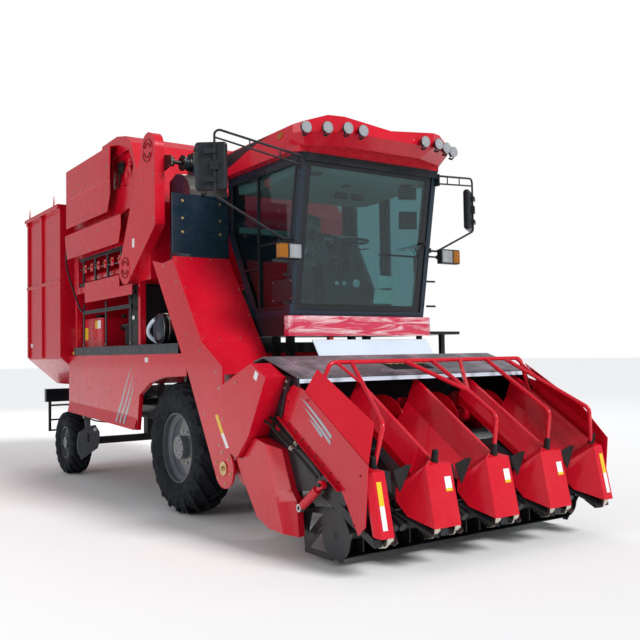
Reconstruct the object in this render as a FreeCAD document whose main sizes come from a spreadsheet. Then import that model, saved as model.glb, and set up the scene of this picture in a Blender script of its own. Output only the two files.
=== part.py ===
import FreeCAD, Part
import Sketcher
import math
import os

from FreeCAD import Rotation, Vector

# Self-propelled four-row corn harvester: picking header in front, cab behind it,
# ear elevator and husker at the machine's right, tipping ear bin at the rear.
# Millimetres.  +X is the machine's left, -Y is forward, +Z is up.

SIZES = [
    # overall placing
    ("axle_place", -875, "front axle along Y, so that the machine is centred"),
    ("wheelbase", 3486, "front axle to rear axle"),
    ("sheet_wall", 6, "folded sheet panels"),
    ("seat_gap", 0.3, "between pieces that only lie against each other"),
    ("move_gap", 8, "between pieces that move past each other"),
    ("pin_gap", 0.05, "radial, shaft in its bore"),
    # front wheels
    ("front_tyre_radius", 632, ""),
    ("front_tyre_width", 380, ""),
    ("front_track_half", 1078, "wheel centre from the middle"),
    ("front_rim_radius", 335, "bead seat"),
    ("front_hub_radius", 110, ""),
    ("front_disc_place", 40, "wheel disc outboard of the wheel centre"),
    ("front_disc_thick", 18, ""),
    ("spindle_radius", 50, ""),
    # rear wheels
    ("rear_tyre_radius", 405, ""),
    ("rear_tyre_width", 280, ""),
    ("rear_track_half", 1120, ""),
    ("rear_rim_radius", 205, ""),
    ("rear_hub_radius", 70, ""),
    ("rear_disc_place", 20, ""),
    ("kingpin_half", 900, "kingpin from the middle"),
    ("kingpin_radius", 25, ""),
    ("rear_spindle_radius", 35, ""),
    # chassis
    ("rail_half", 450, "rail centre from the middle"),
    ("rail_width", 80, ""),
    ("rail_lift", 108, "rails above the front wheels' centre"),
    ("rail_depth", 160, ""),
    ("rail_front", -900, ""),
    ("rail_rear", 4760, ""),
    ("axle_tube_radius", 90, ""),
    # header pivot
    ("pivot_y", -1320, "header hinge line"),
    ("pivot_z", 590, ""),
    ("pivot_pin_radius", 35, ""),
    ("pivot_eye_radius", 75, ""),
    ("arm_half", 620, "chassis arm, centre from the middle"),
    ("arm_thick", 40, ""),
    # deck and side panels
    ("body_half", 1310, "outside of the side panels"),
    ("deck_low", 1540, ""),
    ("deck_high", 1640, ""),
    ("deck_front", -250, ""),
    ("deck_rear", 2850, ""),
    ("deck_floor", 20, ""),
    # elevator
    ("shield_out", 1405, "outside of the drive shield from the middle"),
    ("shield_thick", 20, ""),
    ("elevator_out", 1200, ""),
    ("elevator_gap", 20, "between the elevator and the cab"),
    ("tower_low", 2452, ""),
    ("tower_high", 3050, ""),
    ("tower_front", -300, ""),
    ("tower_rear", 166, ""),
    # husker
    ("husker_right", 1300, ""),
    ("husker_left", 1150, ""),
    ("husker_front", 420, ""),
    ("husker_rear", 2860, ""),
    ("husker_low", 2300, ""),
    ("husker_wall", 12, ""),
    ("husker_high", 3966, ""),
    ("cover_out", 1400, "outside of the husker covers"),
    # ear bin
    ("bin_half", 1385, ""),
    ("bin_front", 3080, ""),
    ("bin_rear", 4640, ""),
    ("bin_low", 1150, ""),
    ("bin_chamfer", 1500, ""),
    ("bin_high", 3480, ""),
    ("bin_wall", 8, ""),
    ("bin_hinge_inset", 55, "bin hinge inboard of the side panels"),
    ("bin_hinge_z", 1440, ""),
    # cab
    ("cab_half", 770, "outside of the cab frame"),
    ("cab_post", 50, ""),
    ("cab_floor_low", 1680, ""),
    ("cab_floor_high", 1850, ""),
    ("cab_top", 3240, ""),
    ("cab_sill_front", -1350, "windscreen at the floor"),
    ("cab_head_front", -1590, "windscreen at the roof"),
    ("cab_sill_rear", -730, ""),
    ("cab_waist_rear", -260, ""),
    ("cab_waist", 2690, ""),
    ("glass_thick", 6, ""),
    ("roof_eave", 90, "roof outboard of the cab frame"),
    ("roof_low", 3240.3, ""),
    ("roof_side_high", 3450, ""),
    ("roof_rear", -200, ""),
    ("visor_low", 3290, ""),
    ("visor_front", -1850, ""),
    ("visor_high", 3525, "top of the humps"),
    ("hump_half", 630, ""),
    ("hump_dip", 65, ""),
    ("lamp_height", 3400, ""),
    ("lamp_radius", 50, ""),
    ("lamp_depth", 50, ""),
    # header
    ("header_edge", 60, "end plates outboard of the outer row beams' middle"),
    ("end_plate", 12, ""),
    ("auger_y", -1930, ""),
    ("auger_z", 960, ""),
    ("auger_flight_radius", 210, ""),
    ("auger_tube_radius", 80, ""),
    ("auger_pitch", 300, ""),
    ("auger_flight", 8, "thickness of the flight"),
    ("trough_radius", 245, ""),
    ("row_pitch", 595, ""),
    ("row_beam_width", 70, ""),
    ("row_angle", 28.2, "slope of the row units"),
    ("row_top_y", -2180, "upper end of the row beams"),
    ("row_top_z", 741, ""),
    ("row_length", 978, ""),
    ("row_taper", 740, "where the deck plates begin to narrow"),
    ("row_slot", 36, "between a row's deck plates"),
    ("deck_plate", 8, ""),
    ("roll_radius", 30, "stalk rolls"),
    ("hood_fold", 100, "fold below a hood's ridge, from its middle"),
    ("hood_reach", 240, "skirt of a hood, from its middle"),
    ("guard_tube_radius", 17, ""),
    # stalk chopper
    ("chopper_y", -2600, ""),
    ("chopper_z", 235, ""),
    ("chopper_radius", 170, ""),
    ("rotor_radius", 134, ""),
    ("chopper_pivot_y", -2150, ""),
    ("chopper_pivot_z", 420, ""),
    # hydraulic cylinders: pin centres with the machine at rest
    ("lift_half", 250, "header cylinders from the middle"),
    ("lift_base_y", -815, ""),
    ("lift_base_z", 375, ""),
    ("lift_eye_y", -1700, ""),
    ("lift_eye_z", 440, ""),
    ("tip_base_x", -500, ""),
    ("tip_base_z", 1000, ""),
    ("tip_eye_x", 250, ""),
    ("tip_eye_z", 1560, ""),
    ("tip_plane", 70, "bin cylinders ahead of and behind the bin's end walls"),
    ("trim_base_y", -2590, "chopper cylinders"),
    ("trim_base_z", 600, ""),
    ("trim_eye_y", -2310, ""),
    ("trim_eye_z", 400, ""),
    # cab door
    ("door_rear", -826, ""),
    ("door_low", 1918, ""),
    ("door_high", 3172, ""),
    ("door_hinge_x", 785, ""),
    ("door_hinge_y", -822, ""),
    ("mirror_reach", 1475, "outer end of the mirror frames"),
]

doc = FreeCAD.newDocument("corn_harvester")
sheet = doc.addObject("Spreadsheet::Sheet", "dim")
for row, (alias, number, note) in enumerate(SIZES, start=1):
    sheet.set(f"A{row}", alias)
    sheet.set(f"B{row}", str(number))
    sheet.set(f"C{row}", note)
    sheet.setAlias(f"B{row}", alias)
doc.recompute()


class Size:
    """A length that carries its number and the spreadsheet expression behind it."""

    def __init__(self, value, text):
        self.value = float(value)
        self.text = text

    def __add__(self, other):
        other = as_size(other)
        return Size(self.value + other.value, f"({self.text} + {other.text})")

    def __radd__(self, other):
        return as_size(other) + self

    def __sub__(self, other):
        other = as_size(other)
        return Size(self.value - other.value, f"({self.text} - {other.text})")

    def __rsub__(self, other):
        return as_size(other) - self

    def __mul__(self, factor):
        return Size(self.value * factor, f"({self.text} * {factor})")

    def __rmul__(self, factor):
        return self * factor

    def __truediv__(self, factor):
        return Size(self.value / factor, f"({self.text} / {factor})")

    def __neg__(self):
        return self * -1

    def __float__(self):
        return self.value


def as_size(item):
    return item if isinstance(item, Size) else Size(item, str(item))


class Sizes:
    """The spreadsheet's cells by alias."""

    def __getattr__(self, alias):
        return Size(sheet.get(alias), f"dim.{alias}")


d = Sizes()
RAIL_LOW = d.front_tyre_radius + d.rail_lift
RAIL_HIGH = RAIL_LOW + d.rail_depth
ELEVATOR_IN = d.cab_half + d.elevator_gap
ROOF_HALF = d.cab_half + d.roof_eave
BIN_HINGE_X = d.body_half - d.bin_hinge_inset
HEADER_HALF = d.row_pitch * 2 + d.header_edge
SIDES = (("right", -1), ("left", 1))
NODES = []

# sketch plane -> (role of the body's origin plane, direction of its normal along the axis)
PLANES = {"YZ": ("YZ_Plane", 1), "XZ": ("XZ_Plane", -1), "XY": ("XY_Plane", 1)}
AXIS_OF = {"YZ": Vector(1, 0, 0), "XZ": Vector(0, 1, 0), "XY": Vector(0, 0, 1)}


def circle(u, v, radius):
    return ("circle", as_size(u), as_size(v), as_size(radius))


def span(low_u, high_u, low_v, high_v):
    """A rectangle as an outline."""
    return [(low_u, low_v), (high_u, low_v), (high_u, high_v), (low_u, high_v)]


def bind(sketch, kind, geometry, vertex, item):
    """Holds one coordinate of a vertex at a size."""
    item = as_size(item)
    rule = Sketcher.Constraint(kind, -1, 1, geometry, vertex, item.value)
    index = sketch.addConstraint(rule)
    if "dim." in item.text:
        sketch.setExpression(f"Constraints[{index}]", item.text)


def draw(sketch, loop):
    """Adds a circle or a closed outline, every vertex held to the origin."""
    if loop[0] == "circle":
        _, u, v, radius = loop
        ring = sketch.addGeometry(
            Part.Circle(Vector(u.value, v.value, 0), Vector(0, 0, 1), radius.value))
        bind(sketch, "DistanceX", ring, 3, u)
        bind(sketch, "DistanceY", ring, 3, v)
        index = sketch.addConstraint(Sketcher.Constraint("Radius", ring, radius.value))
        if "dim." in radius.text:
            sketch.setExpression(f"Constraints[{index}]", radius.text)
        return
    corners = [(as_size(u), as_size(v)) for u, v in loop]
    spots = [Vector(u.value, v.value, 0) for u, v in corners]
    first = sketch.GeometryCount
    count = len(corners)
    for i in range(count):
        sketch.addGeometry(Part.LineSegment(spots[i], spots[(i + 1) % count]))
    for i in range(count):
        following = first + (i + 1) % count
        sketch.addConstraint(Sketcher.Constraint("Coincident", first + i, 2, following, 1))
    for i, (u, v) in enumerate(corners):
        bind(sketch, "DistanceX", first + i, 1, u)
        bind(sketch, "DistanceY", first + i, 1, v)


class Piece:
    """A sub-part as a PartDesign body whose sketches are bound to the spreadsheet."""

    def __init__(self, label, x=0, y=None, z=0, tilt=None):
        self.label = label
        self.body = doc.addObject("PartDesign::Body", label)
        self.body.Label = label
        self.body.AllowCompound = True
        if tilt is not None:
            self.body.Placement.Rotation = Rotation(Vector(1, 0, 0), 1)
            self.body.setExpression("Placement.Rotation.Angle", as_size(tilt).text)
        y = d.axle_place if y is None else d.axle_place + y
        for axis, item in zip("xyz", (x, y, z)):
            self.body.setExpression(f"Placement.Base.{axis}", as_size(item).text)
        NODES.append(self.body)

    def sketch(self, plane, offset, loops):
        role, sign = PLANES[plane]
        origin = [f for f in self.body.Origin.OriginFeatures if f.Role == role][0]
        sketch = self.body.newObject("Sketcher::SketchObject", f"{self.label}_sketch")
        sketch.AttachmentSupport = (origin, [""])
        sketch.MapMode = "FlatFace"
        sketch.setExpression("AttachmentOffset.Base.z", (as_size(offset) * sign).text)
        for loop in loops:
            draw(sketch, loop)
        return sketch

    def feature(self, kind, profile):
        made = self.body.newObject(f"PartDesign::{kind}", f"{self.label}_{kind.lower()}")
        made.Profile = profile
        return made

    def pad(self, plane, low, high, *loops):
        """Solid between low and high along the plane's axis."""
        start = low if PLANES[plane][1] > 0 else high
        made = self.feature("Pad", self.sketch(plane, start, loops))
        made.setExpression("Length", (as_size(high) - low).text)

    def cut(self, plane, low, high, *loops):
        """Removes the space between low and high along the plane's axis."""
        start = low if PLANES[plane][1] > 0 else high
        made = self.feature("Pocket", self.sketch(plane, start, loops))
        made.setExpression("Length", (as_size(high) - low).text)
        made.Reversed = True

    def turn(self, *loops, remove=False):
        """Revolves XZ profiles about the body's X axis."""
        sketch = self.sketch("XZ", 0, loops)
        made = self.feature("Groove" if remove else "Revolution", sketch)
        made.ReferenceAxis = (sketch, ["H_Axis"])
        made.Angle = 360

    def loft(self, rows, remove=False):
        """Ruled loft through (plane, offset, outline) rows."""
        sketches = [self.sketch(plane, at, [loop]) for plane, at, loop in rows]
        made = self.feature("SubtractiveLoft" if remove else "AdditiveLoft", sketches[0])
        made.Sections = sketches[1:]
        made.Ruled = True

    def round(self, plane, radius, *corners):
        """Rounds the edges along the plane's axis that pass through the corners."""
        doc.recompute()
        tip = self.body.Tip
        axis = AXIS_OF[plane]
        names = []
        for i, edge in enumerate(tip.Shape.Edges, start=1):
            if not isinstance(edge.Curve, Part.Line):
                continue
            if abs(abs(edge.Curve.Direction.dot(axis)) - 1) > 1e-6:
                continue
            spot = edge.Vertexes[0].Point
            flat = {"YZ": (spot.y, spot.z), "XZ": (spot.x, spot.z), "XY": (spot.x, spot.y)}[plane]
            if any(math.dist(flat, (float(as_size(u)), float(as_size(v)))) < 0.5
                   for u, v in corners):
                names.append(f"Edge{i}")
        made = self.body.newObject("PartDesign::Fillet", f"{self.label}_round")
        made.Base = (tip, names)
        made.setExpression("Radius", as_size(radius).text)


def shaped(label, shape):
    """A sub-part that Part's own functions make, already in the machine's frame."""
    made = doc.addObject("Part::Feature", label)
    made.Label = label
    made.Shape = shape
    made.Placement.Base.y = d.axle_place.value
    NODES.append(made)


def rounded_route(points, bend):
    """Straight runs joined by tangent arcs of one radius."""
    edges = []
    here = points[0]
    for before, corner, after in zip(points, points[1:], points[2:]):
        into = (corner - before).normalize()
        out = (after - corner).normalize()
        half = into.getAngle(out) / 2
        back = bend * math.tan(half)
        start, end = corner - into * back, corner + out * back
        middle = corner + (out - into).normalize() * (bend / math.cos(half) - bend)
        edges.append(Part.LineSegment(here, start).toShape())
        edges.append(Part.Arc(start, middle, end).toShape())
        here = end
    edges.append(Part.LineSegment(here, points[-1]).toShape())
    return Part.Wire(edges)


def tube(points, radius, bend):
    """A round bar along a route of straight runs and bends."""
    points = [Vector(*[float(item) for item in point]) for point in points]
    route = rounded_route(points, bend)
    heading = (points[1] - points[0]).normalize()
    ring = Part.Wire(Part.Circle(points[0], heading, float(radius)).toShape())
    return route.makePipeShell([ring], True, False, 2)


# ---------------------------------------------------------------- wheels

def tyre(label, side, radius, width, rim_radius, half, place_y):
    """Tyre of rounded section on the rim's bead seat."""
    made = Piece(label, x=half * side, y=place_y, z=radius)
    edge = width / 2
    bead = rim_radius + d.seat_gap
    made.turn([
        (-0.76 * edge, bead), (0.76 * edge, bead), (edge, radius * 0.72), (edge, radius * 0.84),
        (0.9 * edge, radius * 0.955), (0.5 * edge, radius), (-0.5 * edge, radius),
        (-0.9 * edge, radius * 0.955), (-edge, radius * 0.84), (-edge, radius * 0.72)])


def rim(label, side, radius, rim_radius, width, half, place_y, disc, hub, spindle):
    """Well-base rim with its dished disc and hub, bored for the spindle."""
    made = Piece(label, x=half * side, y=place_y, z=radius)
    edge = width * 0.38
    well = rim_radius - 45
    skin = 8
    made.turn([
        (-edge, rim_radius), (-edge, rim_radius - skin), (-edge * 0.62, rim_radius - skin),
        (-edge * 0.45, well - skin), (edge * 0.45, well - skin),
        (edge * 0.62, rim_radius - skin), (edge, rim_radius - skin), (edge, rim_radius)])
    made.turn([
        (-edge * 0.62, rim_radius), (-edge * 0.45, well), (edge * 0.45, well),
        (edge * 0.62, rim_radius)], remove=True)
    inner, outer = disc * side, (disc + d.front_disc_thick) * side
    low, high = (inner, outer) if side > 0 else (outer, inner)
    made.pad("YZ", low, high, circle(0, 0, well - skin / 2), circle(0, 0, spindle + d.pin_gap))
    cap = (disc + 90) * side
    low, high = (outer, cap) if side > 0 else (cap, outer)
    made.pad("YZ", low, high, circle(0, 0, hub))
    bore = (disc + 45) * side
    low, high = (inner, bore) if side > 0 else (bore, inner)
    made.cut("YZ", low, high, circle(0, 0, spindle + d.pin_gap))


for name, side in SIDES:
    tyre(f"front_tyre_{name}", side, d.front_tyre_radius, d.front_tyre_width,
         d.front_rim_radius, d.front_track_half, 0)
    rim(f"front_rim_{name}", side, d.front_tyre_radius, d.front_rim_radius,
        d.front_tyre_width, d.front_track_half, 0, d.front_disc_place,
        d.front_hub_radius, d.spindle_radius)
    tyre(f"rear_tyre_{name}", side, d.rear_tyre_radius, d.rear_tyre_width,
         d.rear_rim_radius, d.rear_track_half, d.wheelbase)
    rim(f"rear_rim_{name}", side, d.rear_tyre_radius, d.rear_rim_radius,
        d.rear_tyre_width, d.rear_track_half, d.wheelbase, d.rear_disc_place,
        d.rear_hub_radius, d.rear_spindle_radius)


# ---------------------------------------------------------------- axles and chassis

def front_axle():
    """Drive axle: gearbox, axle tubes, saddles under the rails, flanges and spindles."""
    made = Piece("front_axle", z=d.front_tyre_radius)
    flange = d.front_track_half + d.front_disc_place - d.seat_gap
    made.pad("YZ", -flange + 30, flange - 30, circle(0, 0, d.axle_tube_radius))
    made.pad("XY", -150, 130, span(-240, 240, -190, 190))
    saddle = RAIL_LOW - d.front_tyre_radius
    for side in (-1, 1):
        place = d.rail_half * side
        made.pad("XY", 0, saddle, span(place - 45, place + 45, -75, 75))
        low, high = sorted((flange * side, (flange - 30) * side), key=float)
        made.pad("YZ", low, high, circle(0, 0, d.front_hub_radius + 30))
        low, high = sorted((flange * side, (flange + 40) * side), key=float)
        made.pad("YZ", low, high, circle(0, 0, d.spindle_radius))


def rear_axle():
    """Steered axle: beam with kingpin eyes, hung from the chassis by its centre bracket."""
    made = Piece("rear_axle", y=d.wheelbase, z=d.rear_tyre_radius)
    made.pad("XY", -45, 45, span(-d.kingpin_half + 40, d.kingpin_half - 40, -50, 50))
    made.pad("XY", 45, RAIL_LOW - d.rear_tyre_radius, span(-110, 110, -70, 70))
    for side in (-1, 1):
        made.pad("XY", -60, 60, circle(d.kingpin_half * side, 0, 55))
        made.cut("XY", -60, 60, circle(d.kingpin_half * side, 0, d.kingpin_radius + d.pin_gap))


def knuckle(name, side):
    """Fork round the axle's eye with its kingpin, and the spindle for the wheel."""
    made = Piece(f"knuckle_{name}", x=d.kingpin_half * side, y=d.wheelbase, z=d.rear_tyre_radius)
    made.pad("XY", -110, 110, circle(0, 0, d.kingpin_radius))
    low, high = sorted((70 * side, 110 * side))
    made.pad("XY", -110, 110, span(low, high, -45, 45))
    low, high = sorted((0, 110 * side))
    for bottom, top in ((-110, -66), (66, 110)):
        made.pad("XY", bottom, top, span(low, high, -45, 45))
        made.pad("XY", bottom, top, circle(0, 0, 45))
    face = d.rear_track_half - d.kingpin_half + d.rear_disc_place
    low, high = sorted((100 * side, (face - d.seat_gap) * side), key=float)
    made.pad("YZ", low, high, circle(0, 0, d.rear_spindle_radius + 15))
    low, high = sorted(((face - 10) * side, (face + 40) * side), key=float)
    made.pad("YZ", low, high, circle(0, 0, d.rear_spindle_radius))


def chassis_frame():
    """Two rails, cross members, cab posts and the arms of the header pivot."""
    made = Piece("chassis_frame")
    for side in (-1, 1):
        place = d.rail_half * side
        made.pad("XY", RAIL_LOW, RAIL_HIGH,
                 span(place - d.rail_width / 2, place + d.rail_width / 2, d.rail_front, d.rail_rear))
    inner = d.rail_half - d.rail_width / 2
    for low in (1300, 2500, 4660):
        made.pad("XY", RAIL_LOW, RAIL_HIGH, span(-inner, inner, low, low + 100))
    made.pad("XY", RAIL_LOW, RAIL_HIGH,
             span(-inner, inner, d.wheelbase - 70, d.wheelbase + 70))
    made.pad("XY", RAIL_LOW, RAIL_HIGH, span(-1180, 1180, d.rail_front, d.rail_front + 110))
    made.pad("YZ", -1180, -800, [
        (d.rail_front, RAIL_HIGH), (elevator_rear(RAIL_HIGH) + 0.4, RAIL_HIGH),
        (elevator_rear(RAIL_LOW + 20) + 0.4, RAIL_LOW + 20), (d.rail_front, RAIL_LOW + 20)])
    for side in (-1, 1):
        low = d.arm_half * side - d.arm_thick / 2
        high = d.arm_half * side + d.arm_thick / 2
        made.pad("YZ", low, high, [
            (d.rail_front, RAIL_HIGH), (d.pivot_y, d.pivot_z + d.pivot_eye_radius * 0.9),
            (d.pivot_y - 40, d.pivot_z), (d.pivot_y, d.pivot_z - d.pivot_eye_radius * 0.9),
            (d.rail_front, RAIL_LOW)])
        made.pad("YZ", low, high, circle(d.pivot_y, d.pivot_z, d.pivot_eye_radius))
        made.cut("YZ", low, high, circle(d.pivot_y, d.pivot_z, d.pivot_pin_radius + d.pin_gap))
    for side in (-1, 1):
        place = d.rail_half * side
        for low in (-890, -640):
            made.pad("XY", RAIL_HIGH, d.cab_floor_low, span(place - 30, place + 30, low, low + 70))
        place = d.lift_half * side
        made.pad("YZ", place - 44, place - 27, [
            (d.rail_front, RAIL_LOW), (d.rail_front + 100, RAIL_LOW),
            (d.lift_base_y + 35, d.lift_base_z - 20), (d.lift_base_y - 35, d.lift_base_z - 20)])
        made.pad("YZ", place - 27, place + 26, circle(d.lift_base_y, d.lift_base_z, 14.9))
    made.pad("XY", RAIL_LOW + 40, RAIL_LOW + 70, span(-60, 60, d.rail_rear - 80, d.rail_rear + 120))
    made.cut("XY", RAIL_LOW + 40, RAIL_LOW + 70, circle(0, d.rail_rear + 70, 16))


def engine():
    """The engine as one plain block on the deck."""
    Piece("engine").pad("XY", d.deck_high, 2190, span(-380, 420, 900, 2050))


def deck():
    """Edge beams with the floor over the machine's body, on posts that stand on the rails."""
    made = Piece("deck")
    half = d.body_half
    made.pad("XY", d.deck_high - d.deck_floor, d.deck_high, span(-half, half, d.deck_front, d.deck_rear))
    beam = 90
    made.pad("XY", d.deck_low, d.deck_high,
             span(-half, half, d.deck_front, d.deck_rear),
             span(-half + beam, half - beam, d.deck_front + beam, d.deck_rear - beam))
    for place in (-d.rail_half, d.rail_half):
        made.pad("XY", d.deck_low, d.deck_high, span(place - 40, place + 40, d.deck_front, d.deck_rear))
        for low in (-150, 1320, 2740):
            made.pad("XY", RAIL_HIGH, d.deck_low, span(place - 40, place + 40, low, low + 80))


def side_panel(name, side):
    """Body side with the wheel arch cut out of it, hung under the deck's edge beam."""
    made = Piece(f"side_panel_{name}")
    low, high = sorted((d.body_half * side, (d.body_half - d.sheet_wall) * side), key=float)
    made.pad("YZ", low, high, [
        (-420, d.deck_low), (3050, d.deck_low), (3055, 975), (3040, 840), (790, 750),
        (720, 1120), (440, 1250), (130, 1310), (-420, 1330)])
    low, high = sorted(((d.body_half - d.sheet_wall) * side, (d.body_half - 60) * side), key=float)
    made.pad("YZ", low, high, span(-250, 3040, d.deck_low - 12, d.deck_low))


# ---------------------------------------------------------------- elevator and husker

def elevator_front(z):
    """Y of the upper conveyor's front face at a height."""
    return -1116 + (z - 1353) * 824 / 1099


def elevator_rear(z):
    """Y of the conveyor's rear face at a height."""
    return (as_size(z) - 491) * (1354 / 1961) - 1188


def elevator_housing():
    """Sloping conveyor box from the header's pivot to the tower."""
    made = Piece("elevator_housing")
    low, high = -d.elevator_out, -ELEVATOR_IN
    made.pad("YZ", low, high, [
        (-1452, 689), (-1012, 1275), (-1116, 1353), (-292, d.tower_low), (d.tower_rear, d.tower_low),
        (-1188, 491)])
    made.pad("YZ", low, high, circle(d.pivot_y, d.pivot_z, 165))


def tower_box():
    """Bolted front box and curved drum at the elevator's head."""
    made = Piece("tower_box")
    low, high = -d.elevator_out, -ELEVATOR_IN
    made.pad("YZ", low, high, [
        (d.tower_front, d.tower_low), (d.tower_rear, d.tower_low), (d.tower_rear, d.tower_high + 200),
        (20, d.tower_high + 250), (-160, d.tower_high + 200), (-270, d.tower_high + 90),
        (d.tower_front, d.tower_high)])
    made.pad("YZ", -1380, -1200, [
        (d.tower_front, d.tower_low + 30), (d.tower_front + 25, d.tower_low + 30),
        (d.tower_front + 25, d.tower_high), (d.tower_front, d.tower_high)])
    made.pad("XY", d.tower_high + 180, d.tower_high + 330, span(-1080, -920, -130, 0))
    made.pad("YZ", -1160, -860, circle(-65, d.tower_high + 350, 62))


def slope_panel():
    """Front sheet over the elevator's slope with the dark strip below it."""
    made = Piece("slope_panel")
    for low, high in ((1353, 1629), (1630, 2451)):
        made.pad("YZ", -d.shield_out + d.shield_thick, -ELEVATOR_IN - 5, [
            (elevator_front(low) - 0.3, low), (elevator_front(high) - 0.3, high),
            (elevator_front(high) - 8, high), (elevator_front(low) - 8, low)])


def drive_shield():
    """Tall folded shield over the drive line, round at its foot over the pivot shaft."""
    made = Piece("drive_shield")
    low, high = -d.shield_out, -d.shield_out + d.shield_thick
    made.pad("YZ", low, high, [
        (-1452, 689), (-1310, 880), (-1310, 1420), (-940, 1630), (-350, 2420), (-120, 2400), (130, 2450),
        (-660, 1350), (-1188, 491)])
    made.pad("YZ", low, high, circle(d.pivot_y, d.pivot_z, 165))
    made.pad("YZ", -d.shield_out + d.shield_thick, -d.elevator_out, circle(d.pivot_y, d.pivot_z, 60))
    made.pad("YZ", -d.shield_out + d.shield_thick, -d.elevator_out, circle(-560, 1900, 40))


def chain_case():
    """Cranked case over the husker's drive, a raised ring on both of its round ends."""
    made = Piece("chain_case")
    low, high = -d.cover_out, -d.husker_right
    made.pad("YZ", low, high, [
        (60, 3560), (60, 2800), (700, 2350), (1000, 2540), (640, 3180), (420, 3560)])
    for y, z, radius in ((240, 3560, 180), (860, 2450, 175)):
        made.pad("YZ", low, high, circle(y, z, radius))
        made.pad("YZ", low - 4, low, circle(y, z, radius * 0.66), circle(y, z, radius * 0.58))


def husker_body():
    """Husker housing over the deck, open below and at its rear, on four legs."""
    made = Piece("husker_body")
    wall, top = d.husker_wall, d.husker_high
    made.pad("YZ", -d.husker_right, d.husker_left, [
        (d.husker_front, d.husker_low), (d.husker_rear, d.husker_low), (d.husker_rear, top - 81),
        (1835, top - 51), (1825, top - 10), (1344, top), (1074, top - 55), (930, top - 153),
        (767, top - 487), (d.husker_front, top - 866)])
    made.cut("YZ", -d.husker_right + wall, d.husker_left - wall, [
        (d.husker_front + wall, d.husker_low), (d.husker_rear, d.husker_low),
        (d.husker_rear, top - 93), (1845, top - 63), (1346, top - 12), (1080, top - 67),
        (942, top - 161), (779, top - 494), (d.husker_front + wall, top - 871)])
    made.cut("YZ", -d.husker_right, -d.husker_right + wall,
             [(1160, 2375), (2700, 2375), (2700, 2735), (1160, 2735)],
             [(1480, 3390), (1480, 3750), (1000, 3750), (905, 3620), (870, 3545), (920, 3440), (1000, 3360)])
    for x in (-d.husker_right, d.husker_left - 60):
        for y in (700, 2760):
            made.pad("XY", d.deck_high, d.husker_low, span(x, x + 60, y, y + 60))


def husker_covers():
    """Folded covers and guard along the husker's right side, their ends cut on the slant."""
    made = Piece("husker_covers")
    out, seat = -d.cover_out, -d.husker_right
    skin = d.sheet_wall
    made.pad("XZ", 1310, d.husker_rear, [
        (seat, 3866), (seat, 3858), (out + skin, 3838), (out + skin, 3125), (out, 3125), (out, 3846)])
    made.pad("XZ", 990, 2900, [
        (seat, 3115), (seat, 3105), (out + skin, 3035), (out + skin, 2740), (out, 2740), (out, 3042)])
    made.pad("XZ", 680, 2160, [
        (seat, 2420), (seat, 2410), (out + skin, 2385), (out + skin, 2160), (out, 2160), (out, 2392)])
    made.cut("YZ", out, seat, [(2900, 2740), (2900, 2945), (2830, 2740)])
    made.cut("YZ", out, seat, [(990, 2740), (1060, 2740), (990, 2900)])
    made.cut("YZ", out, seat, span(680, 1040, 2268, 2420))
    made.cut("YZ", out, seat, [(1310, 3125), (1400, 3125), (1310, 3300)])


def husk_rolls():
    """Row of husking rolls that show below the side covers."""
    made = Piece("husk_rolls", z=2480)
    for i in range(8):
        made.pad("XZ", 520, 2700, circle(-1180 + i * 300, 0, 60))
    made.pad("XZ", 500, 520, span(-1288, 1138, -90, 90))
    made.pad("XZ", 2700, 2720, span(-1288, 1138, -90, 90))


# ---------------------------------------------------------------- ear bin

def bin_outline(inset):
    """The bin's section, drawn in by a wall."""
    return [
        (-d.bin_half + inset, d.bin_high + (0 if inset == 0 else 50)),
        (-d.bin_half + inset, d.bin_chamfer + inset * 0.4),
        (-d.bin_half + 400 + inset * 0.4, d.bin_low + inset),
        (d.bin_half - 400 - inset * 0.4, d.bin_low + inset),
        (d.bin_half - inset, d.bin_chamfer + inset * 0.4),
        (d.bin_half - inset, d.bin_high + (0 if inset == 0 else 50))]


def ear_bin():
    """Open bin with chamfered bottom, front wall lowered under the husker's outlet."""
    made = Piece("ear_bin")
    made.pad("XZ", d.bin_front, d.bin_rear, bin_outline(0))
    made.cut("XZ", d.bin_front + d.bin_wall, d.bin_rear - d.bin_wall, bin_outline(d.bin_wall * 1.0))
    for low, high in ((-d.bin_half - 60, -d.bin_half), (d.bin_half, d.bin_half + 60)):
        made.pad("XY", d.bin_high - 40, d.bin_high, span(low, high, d.bin_front, d.bin_rear))
    for low in (-d.bin_half, d.bin_half - d.bin_wall):
        for y in (3380, d.bin_rear - 100):
            made.pad("YZ", low, low + d.bin_wall, [
                (y, d.bin_high), (y + 100, d.bin_high), (y + 60, d.bin_high + 160),
                (y + 40, d.bin_high + 160)])
    for wall, toward in ((d.bin_front, -1), (d.bin_rear, 1)):
        low, high = sorted((wall, wall + (d.tip_plane - 28) * toward), key=float)
        made.pad("XZ", low, high, circle(BIN_HINGE_X, d.bin_hinge_z, 40))
        low, high = sorted((wall, wall + (d.tip_plane + 25) * toward), key=float)
        made.pad("XZ", low, high, circle(BIN_HINGE_X, d.bin_hinge_z, 25))
        low, high = sorted((wall, wall + (d.tip_plane - 30.3) * toward), key=float)
        made.pad("XZ", low, high, circle(d.tip_eye_x, d.tip_eye_z, 35))


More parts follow.
